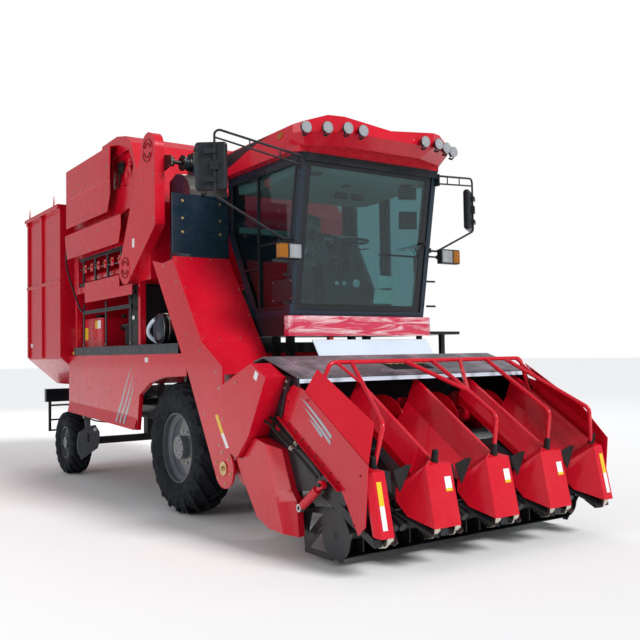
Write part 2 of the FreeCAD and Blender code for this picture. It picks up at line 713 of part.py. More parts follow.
def bin_frame():
    """Cross beams, stands for the bin's hinge and rests under its floor."""
    made = Piece("bin_frame")
    low, high = RAIL_HIGH, RAIL_HIGH + 60
    for middle in (d.bin_front - d.tip_plane, d.bin_rear + d.tip_plane):
        made.pad("XY", low, high, span(-620, BIN_HINGE_X + 40, middle - 35, middle + 35))
        made.pad("XY", high, d.bin_hinge_z, span(BIN_HINGE_X - 40, BIN_HINGE_X + 40,
                                                 middle - 20, middle + 20))
        made.pad("XZ", middle - 20, middle + 20, circle(BIN_HINGE_X, d.bin_hinge_z, 40))
        made.cut("XZ", middle - 20, middle + 20, circle(BIN_HINGE_X, d.bin_hinge_z, 25 + d.pin_gap))
    for y in (3500, 4200):
        for side in (-1, 1):
            place = d.rail_half * side
            made.pad("XY", low, d.bin_low, span(place - 40, place + 40, y, y + 80))
    for middle, toward in ((d.bin_front - d.tip_plane, -1), (d.bin_rear + d.tip_plane, 1)):
        face, back = sorted((middle + 34 * toward, middle + 44 * toward), key=float)
        made.pad("XZ", face, back, [
            (d.tip_base_x - 60, high), (d.tip_base_x + 60, high), (d.tip_base_x + 25, d.tip_base_z + 20),
            (d.tip_base_x - 25, d.tip_base_z + 20)])
        face, back = sorted((middle + 40 * toward, middle - 30 * toward), key=float)
        made.pad("XZ", face, back, circle(d.tip_base_x, d.tip_base_z, 14.9))


def cylinder(label, base, eye, plane, places, bore, rod, share):
    """Hydraulic cylinders between two pins: barrels with a base eye, rods with a rod eye."""
    u0, v0 = (float(item) for item in base)
    u1, v1 = (float(item) for item in eye)
    length = math.hypot(u1 - u0, v1 - v0)
    split = length * share
    across = Vector(1, 0, 0) if plane == "YZ" else Vector(0, 1, 0)
    half = rod + 4
    barrels, rods = [], []
    for place in places:
        place = float(place)
        start = Vector(place, u0, v0) if plane == "YZ" else Vector(u0, place, v0)
        end = Vector(place, u1, v1) if plane == "YZ" else Vector(u1, place, v1)
        along = (end - start).normalize()
        eye_at = (lambda pin, radius: Part.makeCylinder(radius, 2 * half, pin - across * half, across))
        barrel = Part.makeCylinder(bore, split - 70, start + along * 70, along)
        barrel = barrel.fuse(Part.makeCylinder(20, 60, start + along * 20, along))
        barrel = barrel.fuse(eye_at(start, 30)).cut(eye_at(start, 15))
        gland = start + along * split
        well = Part.makeCylinder(rod + 0.05, split - 110, gland, along * -1)
        barrels.append(barrel.cut(well))
        bar = Part.makeCylinder(rod, length - 145, start + along * 120, along)
        bar = bar.fuse(eye_at(end, 30)).cut(eye_at(end, 15))
        rods.append(bar)
    shaped(f"{label}_barrels", Part.makeCompound(barrels))
    shaped(f"{label}_rods", Part.makeCompound(rods))


# ---------------------------------------------------------------- cab

def cab_side(inset):
    """The cab's side outline, drawn in by a frame's width."""
    return [
        (d.cab_sill_front + inset, d.cab_floor_high + inset),
        (d.cab_head_front + inset, d.cab_top - inset), (d.cab_waist_rear - inset, d.cab_top - inset),
        (d.cab_waist_rear - inset, d.cab_waist), (d.cab_sill_rear - inset * 0.6, d.cab_floor_high + inset)]


def door_outline(grow):
    """The door's outline; its front edge runs along the windscreen post."""
    return [
        (-1282 - grow, d.door_low - grow), (-1490 - grow, d.door_high + grow),
        (d.door_rear + grow, d.door_high + grow), (d.door_rear + grow, d.door_low - grow)]


def rear_window(inset):
    """Fixed side window behind the door."""
    return [
        (-758 + inset, 1950 + inset), (-758 + inset, 3180 - inset), (-320 - inset, 3180 - inset),
        (-320 - inset, 2700), (-735 - inset * 0.6, 1950 + inset)]


def cab_frame():
    """Posts, sills and head rails, cut for the windscreen, windows and the door."""
    made = Piece("cab_frame")
    made.pad("YZ", -d.cab_half, d.cab_half, cab_side(0))
    inner = d.cab_half - d.cab_post
    made.cut("YZ", -inner, inner, [
        (d.cab_sill_front + 40, d.cab_floor_high), (d.cab_head_front + 40, d.cab_top - 40),
        (d.cab_waist_rear - 40, d.cab_top - 40), (d.cab_waist_rear - 40, d.cab_waist),
        (d.cab_sill_rear - 40, d.cab_floor_high)])
    made.cut("YZ", -d.cab_half, -inner, cab_side(60))
    made.cut("YZ", inner, d.cab_half, door_outline(d.move_gap))
    made.cut("YZ", inner, d.cab_half, rear_window(0))
    made.cut("XZ", d.cab_head_front - 50, d.cab_sill_front + 60,
             span(-inner, inner, d.cab_floor_high + 50, d.cab_top - 60))
    made.cut("XZ", d.cab_sill_rear - 60, d.cab_waist_rear, span(-600, 600, d.cab_waist + 60, d.cab_top - 90))
    for low in (2080, 2980):
        made.pad("XY", low + 42, low + 60, [
            (d.cab_half, d.door_hinge_y + 1), (d.door_hinge_x - 6, d.door_hinge_y - 7),
            (d.door_hinge_x + 12, d.door_hinge_y - 7), (d.door_hinge_x + 12, d.door_hinge_y + 30),
            (d.cab_half, d.door_hinge_y + 30)])
        made.pad("XY", low, low + 60, circle(d.door_hinge_x, d.door_hinge_y, 6))


def cab_door():
    """Framed glass door on two hinge eyes at its rear edge."""
    made = Piece("cab_door")
    inner, outer = d.cab_half - 42, d.cab_half
    made.pad("YZ", inner, outer, door_outline(0), door_outline(-55))
    made.pad("YZ", inner + 18, inner + 18 + d.glass_thick, door_outline(-54.7))
    for low in (2080, 2980):
        made.pad("XY", low, low + 40, span(outer - 12, d.door_hinge_x, d.door_rear - 24, d.door_rear))
        made.pad("XY", low, low + 40, circle(d.door_hinge_x, d.door_hinge_y, 12))
        made.cut("XY", low, low + 40, circle(d.door_hinge_x, d.door_hinge_y, 6 + d.pin_gap))


def cab_glass():
    """Windscreen, side windows and rear window in the frame's openings."""
    made = Piece("cab_glass")
    inner = d.cab_half - d.cab_post - d.seat_gap
    made.pad("YZ", -inner, inner, [
        (-1344, 1900.3), (-1338, 1900.3), (-1559, 3179.7), (-1565, 3179.7)])
    inner, outer = d.cab_half - 20 - d.glass_thick, d.cab_half - 20
    made.pad("YZ", -outer, -inner, cab_side(60.3))
    made.pad("YZ", inner, outer, rear_window(0.3))
    made.pad("XZ", -286, -280, span(-599.7, 599.7, d.cab_waist + 60.3, d.cab_top - 90.3))


def cab_floor():
    """Floor pan under the cab."""
    made = Piece("cab_floor")
    made.pad("YZ", -d.cab_half, d.cab_half, [
        (-1330, d.cab_floor_low), (-1330, d.cab_floor_high), (d.cab_sill_rear, d.cab_floor_high),
        (-560, d.cab_floor_high), (-560, d.cab_floor_low)])


def cab_roof():
    """Roof shell: raked visor under two humps in front, crown falling to the rear."""
    made = Piece("cab_roof")
    half = ROOF_HALF
    made.pad("XY", d.roof_low, d.visor_low + 10, [
        (-half, d.roof_rear), (-half, -1500), (-half + 70, -1590), (half - 70, -1590), (half, -1500),
        (half, d.roof_rear)])
    made.loft([
        ("XY", d.visor_low, [
            (-half, -1200), (-half, -1500), (-half + 100, -1620), (-420, -1740), (420, -1740),
            (half - 100, -1620), (half, -1500), (half, -1200)]),
        ("XY", d.visor_low + 90, [
            (-half, -1200), (-half - 10, -1610), (-half + 40, -1690), (-500, d.visor_front),
            (500, d.visor_front), (half - 40, -1690), (half + 10, -1610), (half, -1200)])])
    made.pad("XY", d.visor_low + 90, d.visor_high + 10, [
        (-half, d.roof_rear), (-half, -1200), (-half - 10, -1610), (-half + 40, -1690),
        (-500, d.visor_front), (500, d.visor_front), (half - 40, -1690), (half + 10, -1610),
        (half, -1200), (half, d.roof_rear)])
    made.pad("XY", d.visor_low, d.visor_low + 90, span(-half, half, -1210, d.roof_rear))
    made.cut("XZ", d.visor_front, d.roof_rear, [
        (-half - 20, 3600), (-half - 20, d.roof_side_high), (-d.hump_half, d.visor_high),
        (0, d.visor_high - d.hump_dip), (d.hump_half, d.visor_high), (half + 20, d.roof_side_high),
        (half + 20, 3600)])
    made.cut("YZ", -half - 20, half + 20, [
        (-1500, 3600), (-1450, d.visor_high), (-1000, 3505), (-600, 3475), (d.roof_rear, 3420),
        (d.roof_rear, 3600)])
    made.cut("XY", d.roof_low, d.roof_low + 60, [
        (-700, -280), (-700, -1500), (700, -1500), (700, -280)])


def seat():
    """Operator's seat on its pedestal."""
    made = Piece("seat", x=-60)
    made.pad("XY", d.cab_floor_high, 2200, span(-130, 130, -1050, -840))
    made.pad("YZ", -230, 230, [
        (-1130, 2200), (-1130, 2320), (-730, 2300), (-620, 2900), (-550, 2900), (-640, 2200)])


def steering_column():
    """Column with the steering wheel."""
    made = Piece("steering_column", x=30)
    made.pad("YZ", -60, 60, [
        (-1250, d.cab_floor_high), (-1220, 2560), (-1170, 2560), (-1130, d.cab_floor_high)])
    made.pad("XY", 2560, 2585, circle(0, -1160, 190), circle(0, -1160, 165))
    made.pad("XY", 2560, 2585, span(-180, 180, -1175, -1145))


def bumper():
    """Wrapped red bumper beam below the windscreen."""
    made = Piece("bumper")
    made.pad("XY", 1674, 1850, [
        (-810, -1330.3), (-810, -1400), (-760, -1430), (760, -1430), (810, -1400), (810, -1330.3)])


def lamps():
    """Eight round work lamps on the visor's stalks and the two corner lamps."""
    made = Piece("lamps")
    seats = ((350, 0, 14), (510, 1, 15), (670, 81, 26), (830, 163, 28))
    for side in (-1, 1):
        for x, back, stand in seats:
            seat_at = d.visor_front + back - d.seat_gap
            front = seat_at - stand
            made.pad("XZ", front - d.lamp_depth, front, circle(x * side, d.lamp_height, d.lamp_radius))
            made.pad("XZ", front, seat_at, circle(x * side, d.lamp_height, 8))
    for side, near, far, low in ((-1, -35, 190, 2322), (1, 96, 335, 2370)):
        left, right = sorted(((d.cab_half + near) * side, (d.cab_half + far) * side), key=float)
        made.pad("XZ", -1530, -1462, span(left, right, low, low + 140))
        left, right = sorted(((d.cab_half + d.seat_gap) * side, (d.cab_half + 115) * side), key=float)
        made.pad("XZ", -1470, -1425, span(left, right, low + 60, low + 74))


def mirrors():
    """Mirror heads carried by bent tube frames from the windscreen posts."""
    reach = d.mirror_reach.value
    post = d.cab_half.value + d.seat_gap.value
    pieces = []
    for side, top, low, foot, middle in ((-1, 3395, 2835, 2510, 3085), (1, 3290, 2746, 2496, 2967)):
        def at(x, y, z):
            return (x * side, y, z)
        frame = tube([at(post + 10, -1600, 3195), at(reach, -1350, top), at(reach, -1350, low),
                      at(post + 115, -1440, foot), at(post + 10, -1440, foot)], 10, 45)
        frame = frame.fuse(tube([at(post + 10, -1600, 3120), at(reach, -1350, top - 75)], 8, 0))
        for share in (0.25, 0.6):
            x = post + 10 + (reach - post - 10) * share
            rail = 3120 + (top - 3195) * share
            frame = frame.fuse(Part.makeCylinder(6, 75, Vector(*at(x, -1600 + 250 * share, rail))))
        head = Part.makeBox(270, 70, 410, Vector(-135, -35, -205))
        head = head.makeFillet(30, head.Edges)
        for clamp in (-120, 120):
            head = head.fuse(Part.makeBox(110, 45, 40, Vector(-55, -65, clamp - 20)))
        turn = Rotation(Vector(0, 0, 1), 37 * side)
        head.Placement = FreeCAD.Placement(Vector(*at(reach, -1290, middle)), turn)
        for front, rear, bottom, height in ((-1612, -1545, 3100, 112), (-1470, -1400, foot - 23, 46)):
            lug = Part.makeBox(16, rear - front, height, Vector(0, front, bottom))
            lug.translate(Vector(post if side > 0 else -post - 16, 0, 0))
            frame = frame.fuse(lug)
        pieces.append(frame.fuse(head).removeSplitter())
    shaped("mirrors", Part.makeCompound(pieces))


# ---------------------------------------------------------------- header

def header_frame():
    """Trough, back wall, row beams and the ears that hang on the pivot pins."""
    made = Piece("header_frame")
    half = HEADER_HALF
    inner = half - d.end_plate
    made.pad("YZ", -inner, inner, circle(d.auger_y, d.auger_z, d.trough_radius + 6),
             circle(d.auger_y, d.auger_z, d.trough_radius))
    made.cut("YZ", -inner, inner, [
        (d.auger_y - 400, d.auger_z - 120), (d.auger_y - 100, d.auger_z - 120), (d.auger_y + 250, d.auger_z),
        (d.auger_y + 400, d.auger_z), (d.auger_y + 400, d.auger_z + 400), (d.auger_y - 400, d.auger_z + 400)])
    made.pad("YZ", -inner, inner, [
        (-1685, 950), (-1560, 1450), (-1552, 1450), (-1677, 950)])
    made.pad("YZ", -inner, inner, span(-1660, -1560, 640, 740))
    made.pad("YZ", -inner, inner, span(-1684, -1660, 640, 960))
    for side in (-1, 1):
        low, high = sorted(((d.arm_half + 25) * side, (d.arm_half + 65) * side), key=float)
        made.pad("YZ", low, high, [
            (-1560, 640), (-1560, 740), (d.pivot_y, d.pivot_z + 65), (d.pivot_y, d.pivot_z - 65)])
        made.pad("YZ", low, high, circle(d.pivot_y, d.pivot_z, d.pivot_eye_radius))
        low, high = sorted(((d.arm_half - 30) * side, (d.arm_half + 65) * side), key=float)
        made.pad("YZ", low, high, circle(d.pivot_y, d.pivot_z, d.pivot_pin_radius))
    for k in range(-2, 3):
        place = d.row_pitch * k
        made.pad("YZ", place - d.row_beam_width / 2, place + d.row_beam_width / 2, [
            (-1990, 620), (-1960, 710), (d.row_top_y, d.row_top_z), (-3070, 290), (-3070, 235), (-2200, 620)])
    for side in (-1, 1):
        place = d.lift_half * side
        made.pad("YZ", place - 44, place - 26.3, [
            (-1660, 640), (-1560, 640), (d.lift_eye_y + 30, d.lift_eye_z - 20),
            (d.lift_eye_y - 30, d.lift_eye_z - 20)])
        place = (HEADER_HALF - 30) * side
        low, high = sorted((place, place - 18 * side), key=float)
        made.pad("YZ", low, high, [
            (-2060, 640), (-2200, 640), (d.chopper_pivot_y - 30, d.chopper_pivot_z),
            (d.chopper_pivot_y + 30, d.chopper_pivot_z)])
        made.pad("YZ", low, high, circle(d.chopper_pivot_y, d.chopper_pivot_z, 40))
        made.cut("YZ", low, high, circle(d.chopper_pivot_y, d.chopper_pivot_z, 20 + d.pin_gap))


def end_plates():
    """End plates of the header with the auger's bearings and the trim cylinders' pins."""
    made = Piece("end_plates")
    inner = HEADER_HALF - d.end_plate + d.seat_gap
    for side in (-1, 1):
        low, high = sorted((inner * side, HEADER_HALF * side), key=float)
        made.pad("YZ", low, high, [
            (-1552, 1450), (-1560, 640), (-2070, 480), (-2536, 550), (-2790, 470), (-2840, 590),
            (-2420, 900), (-2200, 1330)],
            circle(d.auger_y, d.auger_z, 35 + d.pin_gap))
        low, high = sorted((HEADER_HALF * side, (HEADER_HALF + 88) * side), key=float)
        made.pad("YZ", low, high, circle(d.trim_base_y, d.trim_base_z, 14.9))


def folded(corners, faces):
    """Solid of folded sheet from named corners; each face lists its corners in order."""
    sheets = []
    for names in faces:
        points = [Vector(*corners[name]) for name in names.split()]
        sheets.append(Part.Face(Part.makePolygon(points + points[:1])))
    return Part.Solid(Part.Shell(sheets))


def hood_section(y, ridge, fold, skirt, reach):
    """Section of a hood at a station: skirt, fold and ridge on both sides, a bent sheet."""
    skin = 8
    half = d.row_beam_width.value / 2 - 20
    left = [(-reach, skirt), (-d.hood_fold.value, fold), (-half, ridge)]
    outer = left + [(-u, v) for u, v in reversed(left)]
    inner = [(u + math.copysign(skin, -u), v - skin) for u, v in outer]
    return [(u, y, v) for u, v in outer + inner[::-1]]


def hood_nose(brow, toe, front):
    """Blunt folded nose of a hood; brow and toe are its half widths on the -X and +X sides."""
    ridge_half = d.row_beam_width.value / 2 - 20
    reach, fold = d.hood_reach.value, d.hood_fold.value
    back, top = -2830, 832
    corners = {}
    for mark, side, brow_half, toe_half in (("", 1, brow[1], toe[1]), ("_r", -1, brow[0], toe[0])):
        for name, (x, y, z) in {
                "brow": (brow_half, front + 92, 725), "toe": (toe_half, front, 298),
                "crease": (reach - 25, -2920, 370), "flare": (reach, back, 470),
                "skirt": (reach, back, 560), "fold": (fold, back, 650),
                "peak": (ridge_half, back, top), "tip": (min(ridge_half, brow_half), -2945, 757)}.items():
            corners[name + mark] = (x * side, y, z)
    cheek = ["brow crease toe", "brow flare crease", "brow skirt flare", "brow fold skirt",
             "brow tip fold", "tip peak fold"]
    faces = cheek + [" ".join(name + "_r" for name in face.split()[::-1]) for face in cheek]
    faces += ["brow_r brow toe toe_r", "brow brow_r tip_r tip", "tip tip_r peak_r peak",
              "peak peak_r fold_r skirt_r flare_r flare skirt fold", "toe_r toe crease crease_r",
              "crease_r crease flare flare_r"]
    nose = folded(corners, faces)
    middle = Vector(0, -2980, 560)
    return nose.cut(nose.copy().scaled(0.94, middle).translated(Vector(0, 6, -22)))


def snouts():
    """Five divider hoods: blunt folded nose, flared cheeks and a ridge that climbs rearward."""
    pitch = d.row_pitch.value
    edge = HEADER_HALF.value - d.end_plate.value - d.seat_gap.value - 2 * pitch
    pieces = []
    for k in range(-2, 3):
        outer = abs(k) == 2
        brow, toe = ((10, 90), (14, 94)) if outer else ((120, 120), (124, 124))
        if k > 0:
            brow, toe = brow[::-1], toe[::-1]
        nose = hood_nose(brow, toe, -3130 if outer else -3107)
        sections = []
        for y, ridge in ((-2830, 832), (-2190, 1245), (-2105, 1300)):
            if abs(k) == 1:
                sections.append(hood_section(y, ridge, ridge - 160, ridge - 220, d.hood_fold.value + 5))
            else:
                skirt = 560 + 0.5 * (y + 2830)
                sections.append(hood_section(y, ridge, ridge - 190, skirt, d.hood_reach.value))
        wires = [Part.makePolygon([Vector(*q) for q in rows + rows[:1]]) for rows in sections]
        piece = nose.fuse(Part.makeLoft(wires, True, True))
        piece.translate(Vector(k * pitch, 0, 0))
        if outer:
            side = k / 2
            plane = k * pitch + side * edge
            keep = Part.makeBox(600, 1400, 1400, Vector(min(plane, plane - 600 * side), -3200, 200))
            piece = piece.common(keep)
        pieces.append(piece)
    hoods = Part.makeCompound(pieces)
    shaped("snouts", hoods)
    return hoods


def auger_cover():
    """Cover plate over the cross auger."""
    made = Piece("auger_cover")
    inner = HEADER_HALF
    made.pad("YZ", -inner, inner, [
        (-1560, 1450), (-1560, 1466), (-1720, 1500), (-2210, 1346), (-2210, 1335), (-1720, 1488)])
    made.pad("YZ", -600, 720, [(-1566, 1462), (-1558, 1462), (-1442, 1640), (-1450, 1640)])


def sheet_of(corners, thick):
    """Flat sheet on three or four corners, grown to one side."""
    points = [Vector(*corner) for corner in corners]
    normal = (points[1] - points[0]).cross(points[2] - points[0]).normalize()
    points = [p - normal * (p - points[0]).dot(normal) for p in points]
    return Part.Face(Part.makePolygon(points + points[:1])).extrude(normal * thick)


def prism(outline, low, high):
    """Solid between two X places over a YZ outline."""
    points = [Vector(low, y, z) for y, z in outline]
    return Part.Face(Part.makePolygon(points + points[:1])).extrude(Vector(high - low, 0, 0))


def header_shields():
    """Side sheets of the header, leaning in above a fold, and its two drive covers."""
    face = HEADER_HALF.value
    skin = d.sheet_wall.value
    lip = 45
    fold_rear, fold_front = (-2321, 1242), (-3061, 779)
    low_rear, low_front = (-1981, 1037), (-2760, 573)
    pieces = []
    for side in (-1, 1):
        panel = prism([(-2170, 1286), (-2068, 1247), (-2029, 1070), low_rear, low_front, (-2943, 301),
                       (-3023, 367), fold_front, fold_rear], face * side, (face + skin) * side)
        lean = sheet_of([
            (face * side, *fold_rear), (face * side, *fold_front), ((face - 153) * side, -2939, 1037),
            ((face - 99) * side, -2316, 1421)], -skin * side)
        flange = prism([low_rear, low_front, (low_front[0] + 4, low_front[1] + skin),
                        (low_rear[0] + 4, low_rear[1] + skin)], face * side, (face + lip) * side)
        pieces.append(panel.fuse([lean, flange]).removeSplitter())
    side = -1
    rear_low, rear_high = (-1480, 727), (-1600, 1366)
    out = face + 180
    skin_line = [(-1828, 1450), (-2054, 1343), (-1776, 883), (-1591, 706), (-1458, 731), (-1156, 1116),
                 (-1333, 1267)]
    walled = prism([(-1828, 1450), (-2054, 1343), (-1776, 883), (-1591, 706), rear_low, rear_high],
                   -out, -face - 0.3)
    inside = prism([(-1827, 1443), (-2045, 1340), (-1771, 888), (-1588, 713), (-1470, 735), (-1590, 1356)],
                   -out + skin, -face)
    upper = prism(skin_line, -out, -out + skin).fuse(walled.cut(inside))
    pieces.append(upper.removeSplitter())
    wide = [(-2183, 516), (-2258, 444), (-2283, 183)]
    foot = [(-1987, 208), (-1809, 270), (-1472, 690), (-1598, 694)]
    lower = Part.makeLoft([
        Part.makePolygon([Vector(x, y, z) for y, z in row + row[:1]]) for x, row in (
            (-face - 0.3, [(-1785, 870), (-2060, 800), *wide, *foot]),
            (-face - 50, [(-1785, 870), (-2060, 800), *wide, *foot]),
            (-face - 130, [(-1785, 870), (-1945, 840), (-2075, 510), (-2110, 420), (-2192, 201), *foot]))],
        True, True)
    pieces.append(lower)
    shaped("header_shields", Part.makeCompound(pieces))


def row_units():
    """Four row units: gearbox, tapered deck plates, stalk rolls and gathering chain runs."""
    made = Piece("row_units", y=d.row_top_y, z=d.row_top_z, tilt=d.row_angle)
    half = d.row_beam_width / 2
    slot = d.row_slot / 2
    for k in range(-2, 2):
        left, right = d.row_pitch * k + half, d.row_pitch * (k + 1) - half
        middle = d.row_pitch * (k + 0.5)
        made.pad("XY", -110, 0, span(left, right, -100, 0))
        for side in (-1, 1):
            beam = left if side < 0 else right
            edge = middle + slot * side
            tip = beam - 65 * side
            plate = [(beam, 0), (edge, 0), (edge, -d.row_taper), (tip - 50 * side, -d.row_length - 60),
                     (tip, -d.row_length - 85), (beam, -d.row_length)]
            made.pad("XY", 0, d.deck_plate, plate)
            roll = middle + (d.roll_radius + 6) * side
            made.pad("XZ", -d.row_length + 110, -100, circle(roll, -d.roll_radius - 4, d.roll_radius))
            inner, outer = edge + 40 * side, edge + 68 * side
            bend, end = -d.row_taper - 10, -d.row_length - 20
            chain = [(inner, -60), (inner, bend), (tip - 30 * side, end), (tip - 5 * side, end),
                     (outer, bend), (outer, -60)]
            made.pad("XY", d.deck_plate, d.deck_plate + 14, chain)


def stalk_guard(hoods):
    """Bent tube guard over the rows: a top bar, five legs that stand on the hoods, and braces."""
    radius = d.guard_tube_radius.value
    pitch = d.row_pitch.value
    bar_y, bar_z = -2330, 1450
    bend_y, bend_z = -3016, 1034
    foot_y, foot_z = -2975, 725
    tubes = [tube([
        (-2 * pitch, bar_y + 20, 1100), (-2 * pitch + 160, bar_y, bar_z),
        (2 * pitch - 160, bar_y, bar_z), (2 * pitch, bar_y + 20, 1100)], radius, 70)]
    for side in (-1, 1):
        row = pitch * side
        outer = (1.82 * row, bend_y, bend_z)
        tubes.append(tube([(1.4 * row, bar_y, bar_z), outer, (1.923 * row, foot_y, foot_z)], radius, 60))
        tubes.append(tube([(1.64 * row, bar_y, bar_z), (1.56 * row, -2605, 1284)], radius * 0.7, 0))
        tubes.append(tube([(1.01 * row, bar_y, bar_z), (pitch * side, bend_y, bend_z),
                           (pitch * side, foot_y, foot_z)], radius, 60))
    join = (0, -2720, 1214)
    tubes.append(tube([
        (-0.521 * pitch, bar_y, bar_z), join, (0, bend_y, bend_z), (0, foot_y, foot_z)], radius, 60))
    for share in (-0.034, 0.4975):
        tubes.append(tube([(share * pitch, bar_y, bar_z), join], radius, 0))
    frame = tubes[0].fuse(tubes[1:])
    clear = hoods.copy()
    clear.translate(Vector(0, 0, d.seat_gap.value))
    frame = max(frame.cut(clear).Solids, key=lambda solid: solid.Volume)
    shaped("stalk_guard", frame)


def cross_auger():
    """Cross auger: tube with its flight turns and the stub shafts in the end plates."""
    made = Piece("cross_auger", y=d.auger_y, z=d.auger_z)
    half = HEADER_HALF - d.end_plate - 10
    made.pad("YZ", -half, half, circle(0, 0, d.auger_tube_radius))
    made.pad("YZ", -HEADER_HALF, HEADER_HALF, circle(0, 0, 35))
    for i in range(8):
        place = -half + 60 + d.auger_pitch * i
        made.pad("YZ", place, place + d.auger_flight, circle(0, 0, d.auger_flight_radius))


def chopper_housing():
    """Stalk chopper under the header: curved rear shell, braced end frames and trim pins."""
    made = Piece("chopper_housing", y=d.chopper_y, z=d.chopper_z)
    half = HEADER_HALF - 60
    pivot_y, pivot_z = d.chopper_pivot_y - d.chopper_y, d.chopper_pivot_z - d.chopper_z
    made.pad("YZ", -half, half, circle(0, 0, d.chopper_radius), circle(0, 0, d.chopper_radius - 6))
    made.cut("YZ", -half, half, [(-400, -400), (-60, -400), (-60, 60), (-400, 60)])
    for low, high in ((-half - 10, -half), (half, half + 10)):
        made.pad("YZ", low, high, circle(0, 0, d.chopper_radius), circle(0, 0, 30 + d.pin_gap))
        made.pad("YZ", low, high,
                 [(-60, 160), (60, 100), (345, -150), (395, -150), (pivot_y - 10, pivot_z + 35), (300, 165),
                  (40, 195)],
                 [(150, 130), (300, 120), (352, -40)], [(110, 95), (330, -95), (130, 60)])
        made.pad("YZ", low, high, [(40, -185), (395, -185), (395, -145), (60, -140)])
        made.pad("YZ", low, high, [(-205, 50), (-165, 40), (-20, -180), (-70, -180)])
        made.pad("YZ", low, high, circle(pivot_y, pivot_z, 38))
    for side in (-1, 1):
        low, high = sorted((half * side, (half + 48) * side), key=float)
        made.pad("YZ", low, high, circle(pivot_y, pivot_z, 20))
        low, high = sorted((half * side, (HEADER_HALF + 30 - d.seat_gap) * side), key=float)
        made.pad("YZ", low, high, circle(d.trim_eye_y - d.chopper_y, d.trim_eye_z - d.chopper_z, 25))


def chopper_rotor():
    """Knife rotor of the chopper."""
    made = Piece("chopper_rotor", y=d.chopper_y, z=d.chopper_z)
    half = HEADER_HALF - 75
    made.pad("YZ", -half, half, circle(0, 0, 45))
    made.pad("YZ", -half - 25, half + 25, circle(0, 0, 30))
    for i in range(16):
        place = -half + 40 + i * 145
        made.pad("YZ", place, place + 12, span(-40, 40, -d.rotor_radius, d.rotor_radius))


def ladders():
    """Cab ladder with its platform at the left."""
    made = Piece("ladders")
    low, high = d.cab_half + d.seat_gap, 1300
    made.pad("XY", 1690, 1720, span(low, high, -1300, -300))
    rear = -d.front_tyre_radius - 108
    front = rear - 350
    for y in (front, rear):
        made.pad("XY", 450, 1690, span(1240, 1290, y, y + 40))
    for z in (470, 770, 1070, 1370):
        made.pad("XY", z, z + 30, span(1190, 1290, front + 40, rear))


def air_cleaner():
    """Tall black housing in the engine bay."""
    Piece("air_cleaner").pad("XY", d.deck_high, 2260, span(-1180, -900, 910, 1340))


def exhaust():
    """Exhaust elbow that turns down behind the oil tank."""
    shaped("exhaust", tube([(-1170, 2960, 1545), (-1170, 2960, 1880), (-1170, 2840.3, 1880)], 46, 70))


def side_tank():
    """Round tank beside the drive shield."""
    made = Piece("side_tank")
    made.pad("YZ", -1180, -800, circle(500, d.deck_high + 160, 160))


def oil_tank():
    """Square tank at the rear of the engine bay."""
    made = Piece("oil_tank")
    made.pad("XY", d.deck_high, 1985, span(-1225, -700, 2070, 2840))
    made.round("XY", 30, (-1225, 2070), (-700, 2070))


def rear_bumper():
    """Beam across the rails' ends with the service steps below it."""
    made = Piece("rear_bumper")
    front = d.rail_rear + d.seat_gap
    made.pad("XY", RAIL_HIGH - 20, RAIL_HIGH + 168, span(-1113, 1113, front, front + 80))
    for x in (-1067, -760):
        made.pad("XY", 452, RAIL_HIGH - 20, span(x, x + 35, front + 20, front + 55))
    for z in (452, 604, 814):
        made.pad("XY", z, z + 24, span(-1032, -760, front + 25, front + 50))


def wheel_guards():
    """Plates hung ahead of the rear tyres from tubes on the rails' sides."""
    made = Piece("wheel_guards", y=d.wheelbase - 566)
    for side in (-1, 1):
        made.pad("XZ", 0, 12, [(x * side, z) for x, z in (
            (1233, 575), (1150, 618), (1150, 770), (1080, 770), (1080, 650), (1016, 659), (962, 566),
            (963, 459), (986, 363), (1199, 234), (1239, 321), (1252, 427))])
        low, high = sorted(((d.rail_half + d.rail_width / 2 + d.seat_gap) * side, 1180 * side), key=float)
        made.pad("YZ", low, high, span(-50, 0, RAIL_LOW + 10, RAIL_LOW + 60))


front_axle()
rear_axle()
for name, side in SIDES:
    knuckle(name, side)
    side_panel(name, side)
chassis_frame()
engine()
deck()
elevator_housing()
tower_box()
slope_panel()
drive_shield()
chain_case()
husker_body()
husker_covers()
husk_rolls()
ear_bin()
bin_frame()
cab_frame()
cab_floor()
cab_roof()
seat()
steering_column()
bumper()
lamps()
mirrors()
header_frame()
end_plates()
auger_cover()
stalk_guard(snouts())
cross_auger()
chopper_housing()
chopper_rotor()
header_shields()
row_units()
cab_door()
cab_glass()
ladders()
air_cleaner()
exhaust()
side_tank()
oil_tank()
rear_bumper()
wheel_guards()
cylinder("lift", (d.lift_base_y, d.lift_base_z), (d.lift_eye_y, d.lift_eye_z), "YZ",
         (-d.lift_half, d.lift_half), 42, 22, 0.88)
cylinder("trim", (d.trim_base_y, d.trim_base_z), (d.trim_eye_y, d.trim_eye_z), "YZ",
         (-HEADER_HALF - 50, HEADER_HALF + 50), 33, 16, 0.88)
cylinder("tip", (d.tip_base_x, d.tip_base_z), (d.tip_eye_x, d.tip_eye_z), "XZ",
         (d.bin_front - d.tip_plane, d.bin_rear + d.tip_plane), 45, 26, 0.92)

doc.recompute()
for item in doc.Objects:
    if "Invalid" in item.State or "Error" in item.State:
        raise RuntimeError(f"{item.Name} failed to build: {item.State}")
for item in NODES:
    if item.Shape.isNull() or not item.Shape.isValid():
        raise RuntimeError(f"{item.Label} has no valid shape")

os.makedirs("parts", exist_ok=True)
for item in NODES:
    item.Shape.exportStep(f"parts/{item.Label}.step")
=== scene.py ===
import math

import bmesh
import bpy
from mathutils import Matrix, Vector


